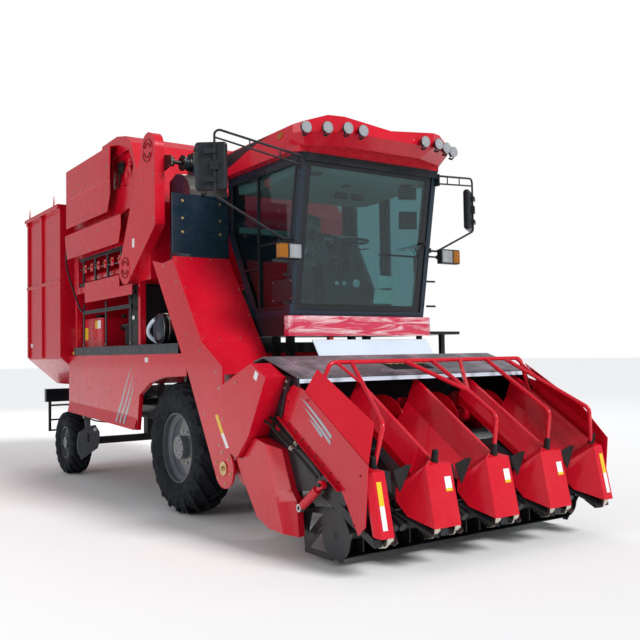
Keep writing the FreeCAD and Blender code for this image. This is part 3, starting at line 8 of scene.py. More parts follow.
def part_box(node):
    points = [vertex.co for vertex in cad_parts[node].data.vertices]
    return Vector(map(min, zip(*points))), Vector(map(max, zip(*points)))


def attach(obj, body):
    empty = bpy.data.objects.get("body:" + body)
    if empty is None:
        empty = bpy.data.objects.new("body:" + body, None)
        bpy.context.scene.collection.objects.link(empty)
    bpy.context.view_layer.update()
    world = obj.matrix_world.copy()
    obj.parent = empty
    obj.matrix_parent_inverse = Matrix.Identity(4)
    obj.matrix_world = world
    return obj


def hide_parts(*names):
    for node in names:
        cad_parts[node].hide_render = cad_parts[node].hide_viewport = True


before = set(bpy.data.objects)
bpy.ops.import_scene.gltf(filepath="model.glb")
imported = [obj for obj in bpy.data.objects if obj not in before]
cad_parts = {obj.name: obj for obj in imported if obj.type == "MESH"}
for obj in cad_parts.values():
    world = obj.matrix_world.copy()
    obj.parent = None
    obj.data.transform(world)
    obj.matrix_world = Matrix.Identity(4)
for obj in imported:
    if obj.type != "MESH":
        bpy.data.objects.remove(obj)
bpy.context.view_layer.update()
RIGHT, LEFT = -1, 1
SIDES = (("right", RIGHT), ("left", LEFT))
AXLE = -0.875       # the front axle's y
FOIL = 0.0015       # a sticker's thickness
BAND = 0.0012       # a stripe's thickness


# ---------------------------------------------------------------- materials

DUST_TOP = 1.3      # height above which no road dust lies
ROAD_DUST = (0.30, 0.24, 0.17)
SPECKS = (0.62, 0.56, 0.62)


def fill(made, **values):
    """Sets a node's properties, or its inputs by name; an output given as a value is linked."""
    for key, value in values.items():
        if hasattr(made, key):
            setattr(made, key, value)
        elif isinstance(value, bpy.types.NodeSocket):
            made.id_data.links.new(value, made.inputs[key.replace("_", " ")])
        else:
            made.inputs[key.replace("_", " ")].default_value = value
    return made


def node(tree, kind, **values):
    """Adds a shader node of a kind, filled in."""
    return fill(tree.nodes.new("ShaderNode" + kind), **values)


def shader(name):
    """New node material, its tree and its Principled shader."""
    made = bpy.data.materials.new(name)
    made.use_nodes = True
    return made, made.node_tree, made.node_tree.nodes["Principled BSDF"]


def place(tree):
    """Object coordinates: every mesh keeps its place in its own vertices."""
    return node(tree, "TexCoord").outputs["Object"]


def noise(tree, scale, detail=4.0, roughness=0.55, distortion=0.0, where=None):
    """Value of a noise texture, at object coordinates unless others are given."""
    return node(tree, "TexNoise", Scale=scale, Detail=detail, Roughness=roughness,
                Distortion=distortion, Vector=where or place(tree)).outputs["Fac"]


def ramp(tree, source, *stops):
    """Colour ramp on a value; each stop is a place and a colour or a grey."""
    made = node(tree, "ValToRGB", Fac=source)
    elements = made.color_ramp.elements
    for element, (spot, colour) in zip(elements, stops, strict=True):
        element.position = spot
        element.color = (colour,) * 3 + (1,) if isinstance(colour, float) else (*colour, 1)
    return made.outputs["Color"]


def mix(tree, share, first, second):
    """Blend of two colours by an output; each colour is a value or an output."""
    made = node(tree, "Mix", data_type="RGBA")
    for socket, value in ((made.inputs[0], share), (made.inputs[6], first), (made.inputs[7], second)):
        if isinstance(value, bpy.types.NodeSocket):
            tree.links.new(value, socket)
        else:
            socket.default_value = (*value, 1)
    return made.outputs[2]


def times(tree, first, second):
    """Product of an output and a number or another output."""
    made = node(tree, "Math", operation="MULTIPLY")
    tree.links.new(first, made.inputs[0])
    if isinstance(second, float):
        made.inputs[1].default_value = second
    else:
        tree.links.new(second, made.inputs[1])
    return made.outputs[0]


def bump(tree, main, source, strength, distance):
    """Relief from a value, in the shader's normal."""
    made = node(tree, "Bump", Strength=strength, Distance=distance, Height=source)
    fill(main, Normal=made.outputs["Normal"])


def dusty(tree, colour, dust, amount):
    """Mixes road dust into a colour, more of it near the ground and in patches."""
    split = node(tree, "SeparateXYZ", Vector=place(tree))
    height = node(tree, "MapRange", Value=split.outputs["Z"], From_Min=DUST_TOP, From_Max=0.0)
    patches = ramp(tree, noise(tree, 5.0, 6.0), (0.42, 0.0), (0.7, 1.0))
    share = times(tree, height.outputs[0], patches)
    return mix(tree, times(tree, share, amount), colour, dust)


def paint(name, colour, shade, rough=0.25, coat=0.6, dust=0.25, grain=0.02):
    """Sprayed enamel: faint cloudiness, uneven sheen, orange peel, a clear coat and dust low down."""
    made, tree, main = shader(name)
    clouds, sheen, peel = noise(tree, 2.5), noise(tree, 9.0, 6.0), noise(tree, 420.0, 2.0)
    cloudy = ramp(tree, clouds, (0.3, shade), (0.7, colour))
    fill(main, Base_Color=dusty(tree, cloudy, ROAD_DUST, dust),
         Roughness=ramp(tree, sheen, (0.3, rough * 0.8), (0.75, rough * 1.35)),
         Specular_IOR_Level=0.25, Coat_Weight=coat, Coat_Roughness=0.08)
    bump(tree, main, peel, grain, 0.0006)
    return made


def metal(name, colour, rough=0.35, streak=120.0):
    """Bare or plated metal with a mottled tone and uneven polish."""
    made, tree, main = shader(name)
    mottle, polish, pits = noise(tree, 30.0, 6.0), noise(tree, streak), noise(tree, 260.0)
    fill(main, Metallic=1.0,
         Base_Color=ramp(tree, mottle, (0.3, tuple(c * 0.7 for c in colour)), (0.7, colour)),
         Roughness=ramp(tree, polish, (0.3, rough * 0.7), (0.8, rough * 1.4)))
    bump(tree, main, pits, 0.05, 0.001)
    return made


def rubber(name, colour, dust, rough=0.75, amount=0.5, scale=60.0):
    """Rubber or grained plastic: worn tone, dust low down and a fine grain."""
    made, tree, main = shader(name)
    wear, sheen, grain = noise(tree, 14.0, 8.0), noise(tree, 22.0), noise(tree, scale, 8.0)
    worn = ramp(tree, wear, (0.35, tuple(c * 0.6 for c in colour)), (0.7, colour))
    fill(main, Base_Color=dusty(tree, worn, dust, amount),
         Roughness=ramp(tree, sheen, (0.3, rough * 0.8), (0.7, min(1.0, rough * 1.2))),
         Specular_IOR_Level=0.2)
    bump(tree, main, grain, 0.35, 0.002)
    return made


def glass(name, colour):
    """Tinted pane: mostly clear, with a thin, faintly smeared skin."""
    made, tree, main = shader(name)
    smear = ramp(tree, noise(tree, 6.0, 8.0), (0.4, 0.02), (0.8, 0.09))
    fill(main, Base_Color=(*colour, 1), Roughness=smear, Transmission_Weight=1.0,
         Specular_IOR_Level=0.2, IOR=1.45)
    return made


def film(name, colour, streak):
    """Clear packing film over paint: creases run along the beam, with their white sheen painted into the
    colour.
    """
    made, tree, main = shader(name)
    stretch = node(tree, "Mapping", Vector=place(tree), Scale=(0.9, 3.5, 6.0), Rotation=(0.0, 0.12, 0.0))
    crease_and_sheen = noise(tree, 2.2, 9.0, 0.62, 1.4, stretch.outputs["Vector"])
    # painted sheen: the streak colour is mixed in along the creases and stands for the wrap's highlights; the
    # creases' relief is real
    fill(main, Base_Color=mix(tree, ramp(tree, crease_and_sheen, (0.46, 0.0), (0.74, 1.0)), colour, streak),
         Roughness=0.12, Coat_Weight=1.0, Coat_Roughness=0.04)
    bump(tree, main, crease_and_sheen, 0.6, 0.02)
    return made


def speckled(name, colour, spot):
    """Worn painted plate: fine pale specks and scuffs over a darker ground."""
    made, tree, main = shader(name)
    scuffs = mix(tree, ramp(tree, noise(tree, 3.0, 8.0, 0.7), (0.45, 0.0), (0.62, 1.0)), colour, spot)
    specks = mix(tree, ramp(tree, noise(tree, 160.0, 4.0), (0.60, 0.0), (0.68, 0.8)), scuffs, SPECKS)
    fill(main, Base_Color=specks, Roughness=ramp(tree, noise(tree, 8.0, 6.0), (0.3, 0.25), (0.75, 0.5)))
    bump(tree, main, noise(tree, 220.0, 4.0), 0.3, 0.0008)
    return made


def lens_glass(name, colour, ribs):
    """Moulded lamp lens: fine ribs across a clear or coloured body."""
    made, tree, main = shader(name)
    wave = node(tree, "TexWave", Scale=ribs, Distortion=0.4, Vector=place(tree)).outputs["Fac"]
    fill(main, Base_Color=ramp(tree, wave, (0.2, colour), (0.9, tuple(c * 0.35 for c in colour))),
         Roughness=0.06, Transmission_Weight=0.55)
    bump(tree, main, wave, 0.5, 0.002)
    return made


def seat_cloth(name, colour, shine):
    """Seat cover under clear wrap: dark weave with folds of the wrap, their shine painted in as pale colour.
    """
    made, tree, main = shader(name)
    folds = noise(tree, 9.0, 8.0, 0.7, 2.5)
    # painted reflection: the shine colour is mixed into the weave along the folds of the wrap
    fill(main, Base_Color=mix(tree, ramp(tree, folds, (0.56, 0.0), (0.66, 0.8)), colour, shine),
         Roughness=0.14, Coat_Weight=1.0)
    bump(tree, main, folds, 0.7, 0.012)
    return made


PAINTS = {          # name, colour, shade, then roughness, coat, dust and grain
    "red": ("red_enamel", (0.60, 0.004, 0.020), (0.53, 0.003, 0.017), 0.26, 0.4, 0.04),
    # painted shade: a darker copy of the red enamel, for the side sheets' bolts and the air cleaner's red
    # label on the shaded right side
    "shaded_red": ("crimson_foil", (0.34, 0.004, 0.012), (0.28, 0.003, 0.010), 0.35, 0.3),
    "black": ("black_enamel", (0.010, 0.012, 0.016), (0.006, 0.008, 0.011), 0.34, 0.25, 0.06),
    "navy": ("blue_black_enamel", (0.006, 0.018, 0.034), (0.004, 0.013, 0.025), 0.28, 0.35, 0.05),
    "dark_grey": ("dark_grey_enamel", (0.028, 0.031, 0.038), (0.020, 0.023, 0.029), 0.4, 0.2, 0.05),
    "drum": ("grey_sheet", (0.085, 0.080, 0.074), (0.055, 0.053, 0.05), 0.3, 0.5),
    "pale": ("pale_enamel", (0.66, 0.74, 0.84), (0.58, 0.66, 0.78)),
    # partly painted shade: the grey of the rims and guards is darkened for the shadow the wheels stand in
    "silver": ("wheel_grey", (0.115, 0.125, 0.145), (0.080, 0.090, 0.105), 0.35, 0.4, 0.10),
    "foil": ("silver_foil", (0.42, 0.42, 0.46), (0.36, 0.36, 0.40), 0.3, 0.5),
    "yellow": ("yellow_foil", (0.80, 0.52, 0.02), (0.74, 0.47, 0.02), 0.3, 0.5, 0.05),
    "white": ("white_foil", (0.80, 0.80, 0.80), (0.72, 0.72, 0.73), 0.3, 0.5, 0.05),
    "card": ("pale_card", (0.55, 0.70, 0.62), (0.48, 0.62, 0.58), 0.6, 0.0, 0.0),
    "liner": ("moulded_liner", (0.46, 0.46, 0.40), (0.38, 0.38, 0.33), 0.8, 0.0, 0.0, 0.8),
    "cast": ("cast_iron_paint", (0.020, 0.021, 0.024), (0.013, 0.013, 0.015), 0.55, 0.1, 0.08, 0.6),
    # painted shade: a near-black finish for openings, slots, grooves and vents, where there is only shade
    "hollow_shade": ("dark_hollow", (0.006, 0.006, 0.007), (0.004, 0.004, 0.005), 0.7, 0.0),
}
METALS = {          # name, colour, then roughness and streaks
    "steel": ("bright_steel", (0.66, 0.65, 0.62)),
    "zinc": ("zinc_plate", (0.70, 0.66, 0.56), 0.3),
    "brass": ("yellow_zinc", (0.72, 0.53, 0.26), 0.32),
    "chrome": ("lamp_chrome", (0.80, 0.82, 0.85), 0.12, 40.0),
    "mirror": ("mirror_silver", (0.88, 0.90, 0.92), 0.03, 12.0),
    "dark_metal": ("oiled_steel", (0.075, 0.070, 0.066), 0.42),
}
RUBBERS = {         # name, colour, dust's colour, roughness, dust and grain's scale
    "tyre": ("tyre_rubber", (0.010, 0.013, 0.018), (0.08, 0.08, 0.08), 0.75, 0.08),
    "rubber": ("black_rubber", (0.012, 0.012, 0.013), (0.10, 0.09, 0.08), 0.5, 0.2, 160.0),
    "tan_hose": ("tan_hose", (0.23, 0.17, 0.09), (0.2, 0.17, 0.12), 0.5, 0.2, 160.0),
    "plastic": ("dark_plastic", (0.022, 0.025, 0.030), (0.2, 0.18, 0.15), 0.36, 0.1, 260.0),
}
MATERIALS = {
    "grey": speckled("cover_plate", (0.075, 0.070, 0.078), (0.24, 0.20, 0.24)),
    # painted sheen: the second colour is the white of the wrap's creases
    "film": film("wrapped_enamel", (0.60, 0.02, 0.07), (0.95, 0.88, 0.90)),
    # painted reflection: the second colour is the pale shine on the seat's wrap
    "seat": seat_cloth("wrapped_seat", (0.020, 0.026, 0.030), (0.42, 0.50, 0.50)),
    "glass": glass("tinted_glass", (0.34, 0.58, 0.60)),
    "lens": lens_glass("clear_lens", (0.92, 0.95, 1.0), 90.0),
    "amber": lens_glass("amber_lens", (0.95, 0.32, 0.01), 70.0),
    "tail": lens_glass("red_lens", (0.60, 0.01, 0.01), 70.0),
}
for make, rows in ((paint, PAINTS), (metal, METALS), (rubber, RUBBERS)):
    MATERIALS |= {finish: make(*row) for finish, row in rows.items()}
FINISH = {
    "red": ["side_panel_right", "side_panel_left", "elevator_housing", "slope_panel", "drive_shield",
            "chain_case", "husker_body", "husker_covers", "cab_roof", "snouts", "header_shields",
            "stalk_guard", "cross_auger", "ear_bin", "oil_tank", "trim_barrels", "husk_rolls"],
    "film": ["bumper"],
    "black": ["chassis_frame", "deck", "bin_frame", "cab_floor", "ladders", "side_tank", "header_frame",
              "row_units", "chopper_housing", "lift_barrels", "tip_barrels", "rear_bumper", "end_plates"],
    "navy": ["tower_box", "cab_frame", "cab_door"],
    "grey": ["auger_cover"],
    "silver": ["front_rim_right", "front_rim_left", "rear_rim_right", "rear_rim_left", "wheel_guards"],
    "steel": ["exhaust", "lift_rods", "tip_rods", "trim_rods"],
    "cast": ["front_axle", "rear_axle", "engine", "knuckle_right", "knuckle_left", "chopper_rotor"],
    "tyre": ["front_tyre_right", "front_tyre_left", "rear_tyre_right", "rear_tyre_left"],
    "plastic": ["steering_column", "mirrors", "air_cleaner"],
    "seat": ["seat"],
    "glass": ["cab_glass"],
    "lens": ["lamps"],
}
for finish, names in FINISH.items():
    for name in names:
        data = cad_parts[name].data
        data.materials.clear()
        data.materials.append(MATERIALS[finish])


# ---------------------------------------------------------------- making pieces

def at(x, y, z):
    """A place in the machine's own frame, with y counted from the front axle."""
    return Vector((x, y + AXLE, z))


def facing(x, places):
    """Places (y, z) on a sheet that faces sideways at x."""
    return [at(x, y, z) for y, z in places]


def card(y0, z0, y1, z1):
    """The (y, z) corners of an upright rectangle."""
    return (y0, z0), (y1, z0), (y1, z1), (y0, z1)


def mirrored(place, side):
    """The same place on the side wanted; places are given for the machine's right."""
    return Vector((place[0] * -side, place[1], place[2]))


def around(hub, angle, reach):
    """Place at an angle and a distance from a hub, in the side view."""
    return hub + Vector((0, math.cos(angle) * reach, math.sin(angle) * reach))


def between(first, last, count):
    """Evenly spaced places from one to another."""
    first, last = Vector(first), Vector(last)
    return [first.lerp(last, i / (count - 1)) for i in range(count)]


def linked(name, data, finish):
    """New object in the scene, with its finish."""
    data.materials.append(MATERIALS[finish])
    made = bpy.data.objects.new(name, data)
    bpy.context.scene.collection.objects.link(made)
    return made


def piece(name, finish, body, form, bevel=0.0, smooth=40.0):
    """Object made of a bmesh; it rides on a body."""
    bmesh.ops.recalc_face_normals(form, faces=form.faces)
    data = bpy.data.meshes.new(name)
    form.to_mesh(data)
    form.free()
    made = linked(name, data, finish)
    data.shade_smooth()
    data.set_sharp_from_angle(angle=math.radians(smooth))
    if bevel:
        edge = made.modifiers.new("edge", "BEVEL")
        edge.width = bevel
        edge.segments = 2
        edge.limit_method = "ANGLE"
    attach(made, body)
    return made


def axes(direction):
    """Rotation that turns +Z towards a direction."""
    return Vector(direction).to_track_quat("Z", "Y").to_matrix().to_4x4()


def add_block(form, low, high, turn=None):
    """Block between two corners, turned about its middle."""
    low, high = Vector(low), Vector(high)
    spin = turn.to_4x4() if turn else Matrix.Identity(4)
    matrix = Matrix.Translation((low + high) / 2) @ spin @ Matrix.Diagonal((*(high - low), 1))
    bmesh.ops.create_cube(form, size=1, matrix=matrix)


def add_bar(form, start, end, radius, sides=16, far=None):
    """Round bar between two points, tapered when far is given."""
    start, end = Vector(start), Vector(end)
    matrix = Matrix.Translation((start + end) / 2) @ axes(end - start)
    bmesh.ops.create_cone(form, cap_ends=True, segments=sides, radius1=radius,
                          radius2=radius if far is None else far, depth=(end - start).length, matrix=matrix)


def add_rows(form, rows):
    """Blocks and bars as rows of numbers: two corners make a block; a bar has its two ends,
    radius, sides and, when tapered, far radius."""
    for row in rows:
        add = add_bar if row[6:] else add_block
        add(form, at(*row[:3]), at(*row[3:6]), *row[6:])


def rows_piece(name, finish, body, rows, bevel=0.0):
    """Piece of blocks and bars, given as rows of numbers."""
    form = bmesh.new()
    add_rows(form, rows)
    return piece(name, finish, body, form, bevel)


def add_prism(form, corners, shift):
    """Flat outline extruded by a vector."""
    corners, shift = [Vector(corner) for corner in corners], Vector(shift)
    near = [form.verts.new(corner) for corner in corners]
    far = [form.verts.new(corner + shift) for corner in corners]
    form.faces.new(near)
    form.faces.new(far[::-1])
    for i in range(len(corners)):
        j = (i + 1) % len(corners)
        form.faces.new((near[i], far[i], far[j], near[j]))


def prism_piece(name, finish, body, corners, shift, bevel=0.0):
    """Piece of one flat outline extruded by a vector."""
    form = bmesh.new()
    add_prism(form, corners, shift)
    return piece(name, finish, body, form, bevel)


def add_band(form, points, widths, outward):
    """Foil along a line, with a half width of its own at every point."""
    outward = Vector(outward).normalized()
    one, other = [], []
    for i, wide in enumerate(widths):
        along = points[min(i + 1, len(points) - 1)] - points[max(i - 1, 0)]
        across = along.cross(outward).normalized() * wide
        one.append(points[i] + across)
        if wide:
            other.append(points[i] - across)
    add_prism(form, one + other[::-1], outward * BAND)


def add_line(form, points, radius, sides=8):
    """Round beads between the points of a line, one after another."""
    for one, other in zip(points, points[1:]):
        add_bar(form, one, other, radius, sides)


def add_bolt(form, where, direction, size=0.009):
    """Hex head with its washer and the screw's end."""
    where, direction = Vector(where), Vector(direction).normalized()
    washer, head, end = (where + direction * size * share for share in (0.25, 0.95, 1.3))
    add_bar(form, where, washer, size * 1.35, 14)
    add_bar(form, washer, head, size, 6, size * 0.9)
    add_bar(form, head, end, size * 0.5, 10)


def bolts(name, body, places, size=0.009, direction=(RIGHT, 0, 0), finish="zinc"):
    """Piece of equal bolts that all face one way."""
    form = bmesh.new()
    for spot in places:
        add_bolt(form, spot, direction, size)
    return piece(name, finish, body, form)


def sticker(name, finish, body, corners, outward=(RIGHT, 0, 0)):
    """Thin foil on a face; outward is its normal."""
    return prism_piece(name, finish, body, corners, Vector(outward).normalized() * FOIL)


def pipe(name, finish, body, radius, *points):
    """Formed pipe along a smooth line through its control points."""
    curve = bpy.data.curves.new(name, "CURVE")
    curve.dimensions = "3D"
    curve.bevel_depth = radius
    curve.bevel_resolution = 4
    curve.use_fill_caps = True
    line = curve.splines.new("NURBS")
    line.points.add(len(points) - 1)
    for spot, point in zip(points, line.points):
        point.co = (*at(*spot), 1)
    line.order_u = 3
    line.use_endpoint_u = True
    line.resolution_u = 10
    made = linked(name, curve, finish)
    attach(made, body)
    return made


def ring(form, outer, inner, shift):
    """Frame between two outlines with the same number of corners."""
    for i in range(len(outer)):
        j = (i + 1) % len(outer)
        add_prism(form, [outer[i], outer[j], inner[j], inner[i]], shift)


def turned(form, middle, profile, sides=36):
    """Body of revolution that faces along y; the profile is (along, radius) pairs."""
    matrix = Matrix.Translation(middle) @ axes((0, 1, 0))
    rows = []
    for along, radius in profile:
        row = []
        for i in range(sides):
            angle = 2 * math.pi * i / sides
            spot = Vector((math.cos(angle) * radius, math.sin(angle) * radius, along))
            row.append(form.verts.new(matrix @ spot))
        rows.append(row)
    for one, other in zip(rows, rows[1:]):
        for i in range(sides):
            j = (i + 1) % sides
            form.faces.new((one[i], one[j], other[j], other[i]))
    form.faces.new(rows[0][::-1])
    form.faces.new(rows[-1])


# ---------------------------------------------------------------- wheels

def tread_profile(half, seat, wall):
    """Half section of the carcass under the lugs, bead to crown."""
    return [(0.72 * half, seat + 0.002), (0.79 * half, seat + 0.03 * wall), (0.93 * half, seat + 0.22 * wall),
            (0.985 * half, seat + 0.45 * wall), (0.97 * half, seat + 0.62 * wall),
            (0.88 * half, seat + 0.78 * wall), (0.60 * half, seat + 0.865 * wall), (0.0, seat + 0.885 * wall)]


def crown(radius, half, across):
    """Height of the lugs' tops at a distance from the tyre's middle."""
    share = abs(across) / half
    if share < 0.5:
        return radius - 0.001
    if share < 0.9:
        return radius * (1 - 0.045 * (share - 0.5) / 0.4) - 0.001
    return radius * (0.955 - 0.115 * (share - 0.9) / 0.1) - 0.002


def tyre(node_name, rim_name, body, pairs):
    """Tractor tyre: rounded carcass with two staggered rows of slanted lugs."""
    low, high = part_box(node_name)
    rim_low, rim_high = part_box(rim_name)
    middle = (low + high) / 2
    radius, half = (high.z - low.z) / 2, (high.x - low.x) / 2
    seat = (rim_high.z - rim_low.z) / 2
    wall = radius - seat
    form = bmesh.new()

    def vertex(across, angle, height):
        """New vertex at an angle round the axle."""
        return form.verts.new(middle + Vector((across, -math.cos(angle) * height, math.sin(angle) * height)))

    def strip(here, after):
        """Faces between two rows of vertices."""
        for j in range(len(here) - 1):
            form.faces.new((here[j], here[j + 1], after[j + 1], after[j]))

    half_line = tread_profile(half, seat, wall)
    line = half_line + [(-u, r) for u, r in half_line[-2::-1]]
    steps = 96
    rings = [[vertex(u, 2 * math.pi * i / steps, r) for u, r in line] for i in range(steps)]
    for i in range(steps):
        strip(rings[i], rings[(i + 1) % steps])
    pitch = 2 * math.pi / pairs
    slant = half * 1.45 / radius
    for side in (RIGHT, LEFT):
        for i in range(pairs):
            start = pitch * (i + (0.5 if side > 0 else 0))
            rows = []
            for j in range(7):
                share = j / 6
                across = side * half * (share * 1.04 - 0.05)
                angle = start + slant * share ** 1.15
                top = crown(radius, half, min(half, max(-half, across)))
                foot = max(seat + 0.45 * wall, top - 0.2 * wall)
                wide = (0.020 + 0.012 * share) / radius
                across = side * min(abs(across), half * 0.995) * (1 if across * side > 0 else -1)
                rows.append([vertex(across, angle + turn, height) for turn, height in
                             ((-wide * 1.45, foot), (-wide, top), (wide, top), (wide * 1.45, foot))])
            for here, after in zip(rows, rows[1:]):
                strip(here, after)
            form.faces.new(rows[0])
            form.faces.new(rows[-1][::-1])
    made = piece(f"{node_name}_tread", "tyre", body, form, smooth=32.0)
    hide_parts(node_name)


def wheel_details(tyre_name, rim_name, body, side, disc, hub, count, reach, size):
    """Wheel nuts on the disc and bolts round the hub's cap."""
    low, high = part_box(tyre_name)
    middle = (low + high) / 2
    form = bmesh.new()
    for face, number, shift, share, scale in ((disc, count, 0, 1, 1), (hub, 6, 0.5, 0.45, 0.7)):
        centre = Vector((middle.x + side * face, middle.y, middle.z))
        for i in range(number):
            spot = around(centre, 2 * math.pi * (i + shift) / number, reach * share)
            add_bolt(form, spot, (side, 0, 0), size * scale)
    piece(f"{rim_name}_nuts", "zinc", body, form)


LUG_PAIRS = {"front": 20, "rear": 18}
NUTS = {            # the disc's and the hub's distance from the middle, then nuts, their circle and size
    "front": (0.058, 0.130, 10, 0.155, 0.014),
    "rear": (0.038, 0.110, 6, 0.100, 0.011),
}
for name, side in SIDES:
    for end, pairs in LUG_PAIRS.items():
        tyre(f"{end}_tyre_{name}", f"{end}_rim_{name}", f"{end}_wheel_{name}", pairs)
    for end, measures in NUTS.items():
        wheel_details(f"{end}_tyre_{name}", f"{end}_rim_{name}", f"{end}_wheel_{name}", side, *measures)


# ---------------------------------------------------------------- header

ROW_PITCH = 0.595
ROWS = [ROW_PITCH * (k + 0.5) for k in range(-2, 2)]
HOODS = [ROW_PITCH * k for k in range(-2, 3)]
ROW_TOP = at(0, -2.180, 0.741)
ROW_SLOPE = math.radians(28.2)


def on_row(x, along, above):
    """Place on the row units' slope: along runs down to the tips."""
    return ROW_TOP + Vector((x, -along * math.cos(ROW_SLOPE) - above * math.sin(ROW_SLOPE),
                             -along * math.sin(ROW_SLOPE) + above * math.cos(ROW_SLOPE)))


def gathering_chains():
    """Links and lugs of the gathering chains along both edges of every row."""
    links, lugs = bmesh.new(), bmesh.new()
    turn = Matrix.Rotation(ROW_SLOPE, 4, "X")
    for middle in ROWS:
        for side in (RIGHT, LEFT):
            for i in range(26):
                spot = on_row(middle + side * 0.072, 0.085 + i * 0.026, 0.026)
                half = Vector((0.010 if i % 2 else 0.014, 0.011, 0.005))
                add_block(links, spot - half, spot + half, turn)
            for i in range(7):
                spot = on_row(middle + side * 0.048, 0.11 + i * 0.1 + (0.05 if side > 0 else 0), 0.034)
                half = Vector((0.034, 0.006, 0.009))
                add_block(lugs, spot - half, spot + half, turn)
    piece("chain_links", "dark_metal", "header", links)
    piece("chain_lugs", "dark_metal", "header", lugs, bevel=0.002)


def auger():
    """Cross auger: two opposite helical flights, middle paddles, tube and stub shafts."""
    low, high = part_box("cross_auger")
    middle = (low + high) / 2
    outer, core = (high.z - low.z) / 2 - 0.004, 0.080
    half = (high.x - low.x) / 2
    form = bmesh.new()
    for reach, radius, sides in ((half - 0.02, core, 48), (half, 0.035, 24)):
        add_bar(form, middle - Vector((reach, 0, 0)), middle + Vector((reach, 0, 0)), radius, sides)
    start, end, pitch, steps = 0.16, half - 0.06, 0.30, 96
    for side in (RIGHT, LEFT):
        flight = []
        for thick in (-0.003, 0.003):
            rows = []
            for i in range(steps + 1):
                along = start + (end - start) * i / steps
                angle = side * 2 * math.pi * along / pitch
                base = middle + Vector((side * along + thick, 0, 0))
                rows.append([form.verts.new(around(base, angle, reach)) for reach in (core * 0.98, outer)])
            for (a, b), (c, d) in zip(rows, rows[1:]):
                form.faces.new((a, b, d, c))
            flight.append(rows)
        for (a, b), (c, d), (e, f), (g, h) in zip(flight[0], flight[0][1:], flight[1], flight[1][1:]):
            form.faces.new((b, d, h, f))
    for i in range(4):
        ray = around(Vector(), i * math.pi / 2 + 0.4, 1)
        flat = Vector((0, -ray.z, ray.y)) * 0.004
        corners = [middle + Vector((x, 0, 0)) + ray * reach for reach, x in card(core, -0.11, 0.19, 0.11)]
        add_prism(form, [corner - flat for corner in corners], flat * 2)
    made = piece("auger_flights", "red", "auger", form, smooth=50.0)
    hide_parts("cross_auger")


def guard_boots():
    """Rubber sleeves over the feet of the stalk guard's legs."""
    form = bmesh.new()
    for x, sideways in ((-1.144, -0.10), (-0.595, 0), (0.0, 0), (0.595, 0), (1.144, 0.10)):
        foot = at(x, -2.976, 0.742)
        lean = Vector((sideways, -0.1, 0.6)).normalized()
        for start, end, radius, far in ((0, 0.075, 0.0245, 0.0225), (0.075, 0.083, 0.0225, 0.018),
                                        (-0.004, 0.008, 0.029, None)):
            add_bar(form, foot + lean * start, foot + lean * end, radius, 20, far)
    piece("guard_boots", "rubber", "header", form)


def rubber_ears():
    """Rubber flaps that close the gaps between the hoods above the row entries."""
    form = bmesh.new()
    for x in HOODS:
        for side in (RIGHT, LEFT):
            if abs(x + side * 0.2) > 1.2:
                continue
            corners = [at(x + side * reach, y, z) for reach, y, z in
                       ((0.105, -2.845, 0.712), (0.160, -2.848, 0.716), (0.285, -2.855, 0.684),
                        (0.262, -2.90, 0.535))]
            add_prism(form, corners, (0, -0.006, 0.002))
    piece("rubber_ears", "rubber", "header", form, bevel=0.0015)


def nose_tips():
    """Cast wear shoes under both front corners of every nose."""
    form = bmesh.new()
    for x in HOODS:
        outer = abs(x) > 1
        reach, front = (0.092, -3.125) if outer else (0.124, -3.102)
        for side in (RIGHT, LEFT):
            if outer and side * x > 0:
                continue
            spot = x + side * (reach - 0.028)
            corners = [at(spot + across, front + back, z) for across, back, z in
                       ((-0.028, -0.001, 0.300), (0.028, -0.001, 0.300), (0.034, 0.20, 0.335),
                        (0.030, 0.24, 0.275), (-0.020, 0.10, 0.232), (-0.026, 0.02, 0.250))]
            both = [corner + Vector((0, 0, drop)) for corner in corners for drop in (0, -0.018)]
            bmesh.ops.convex_hull(form, input=[form.verts.new(corner) for corner in both])
    piece("nose_shoes", "zinc", "header", form, bevel=0.004)


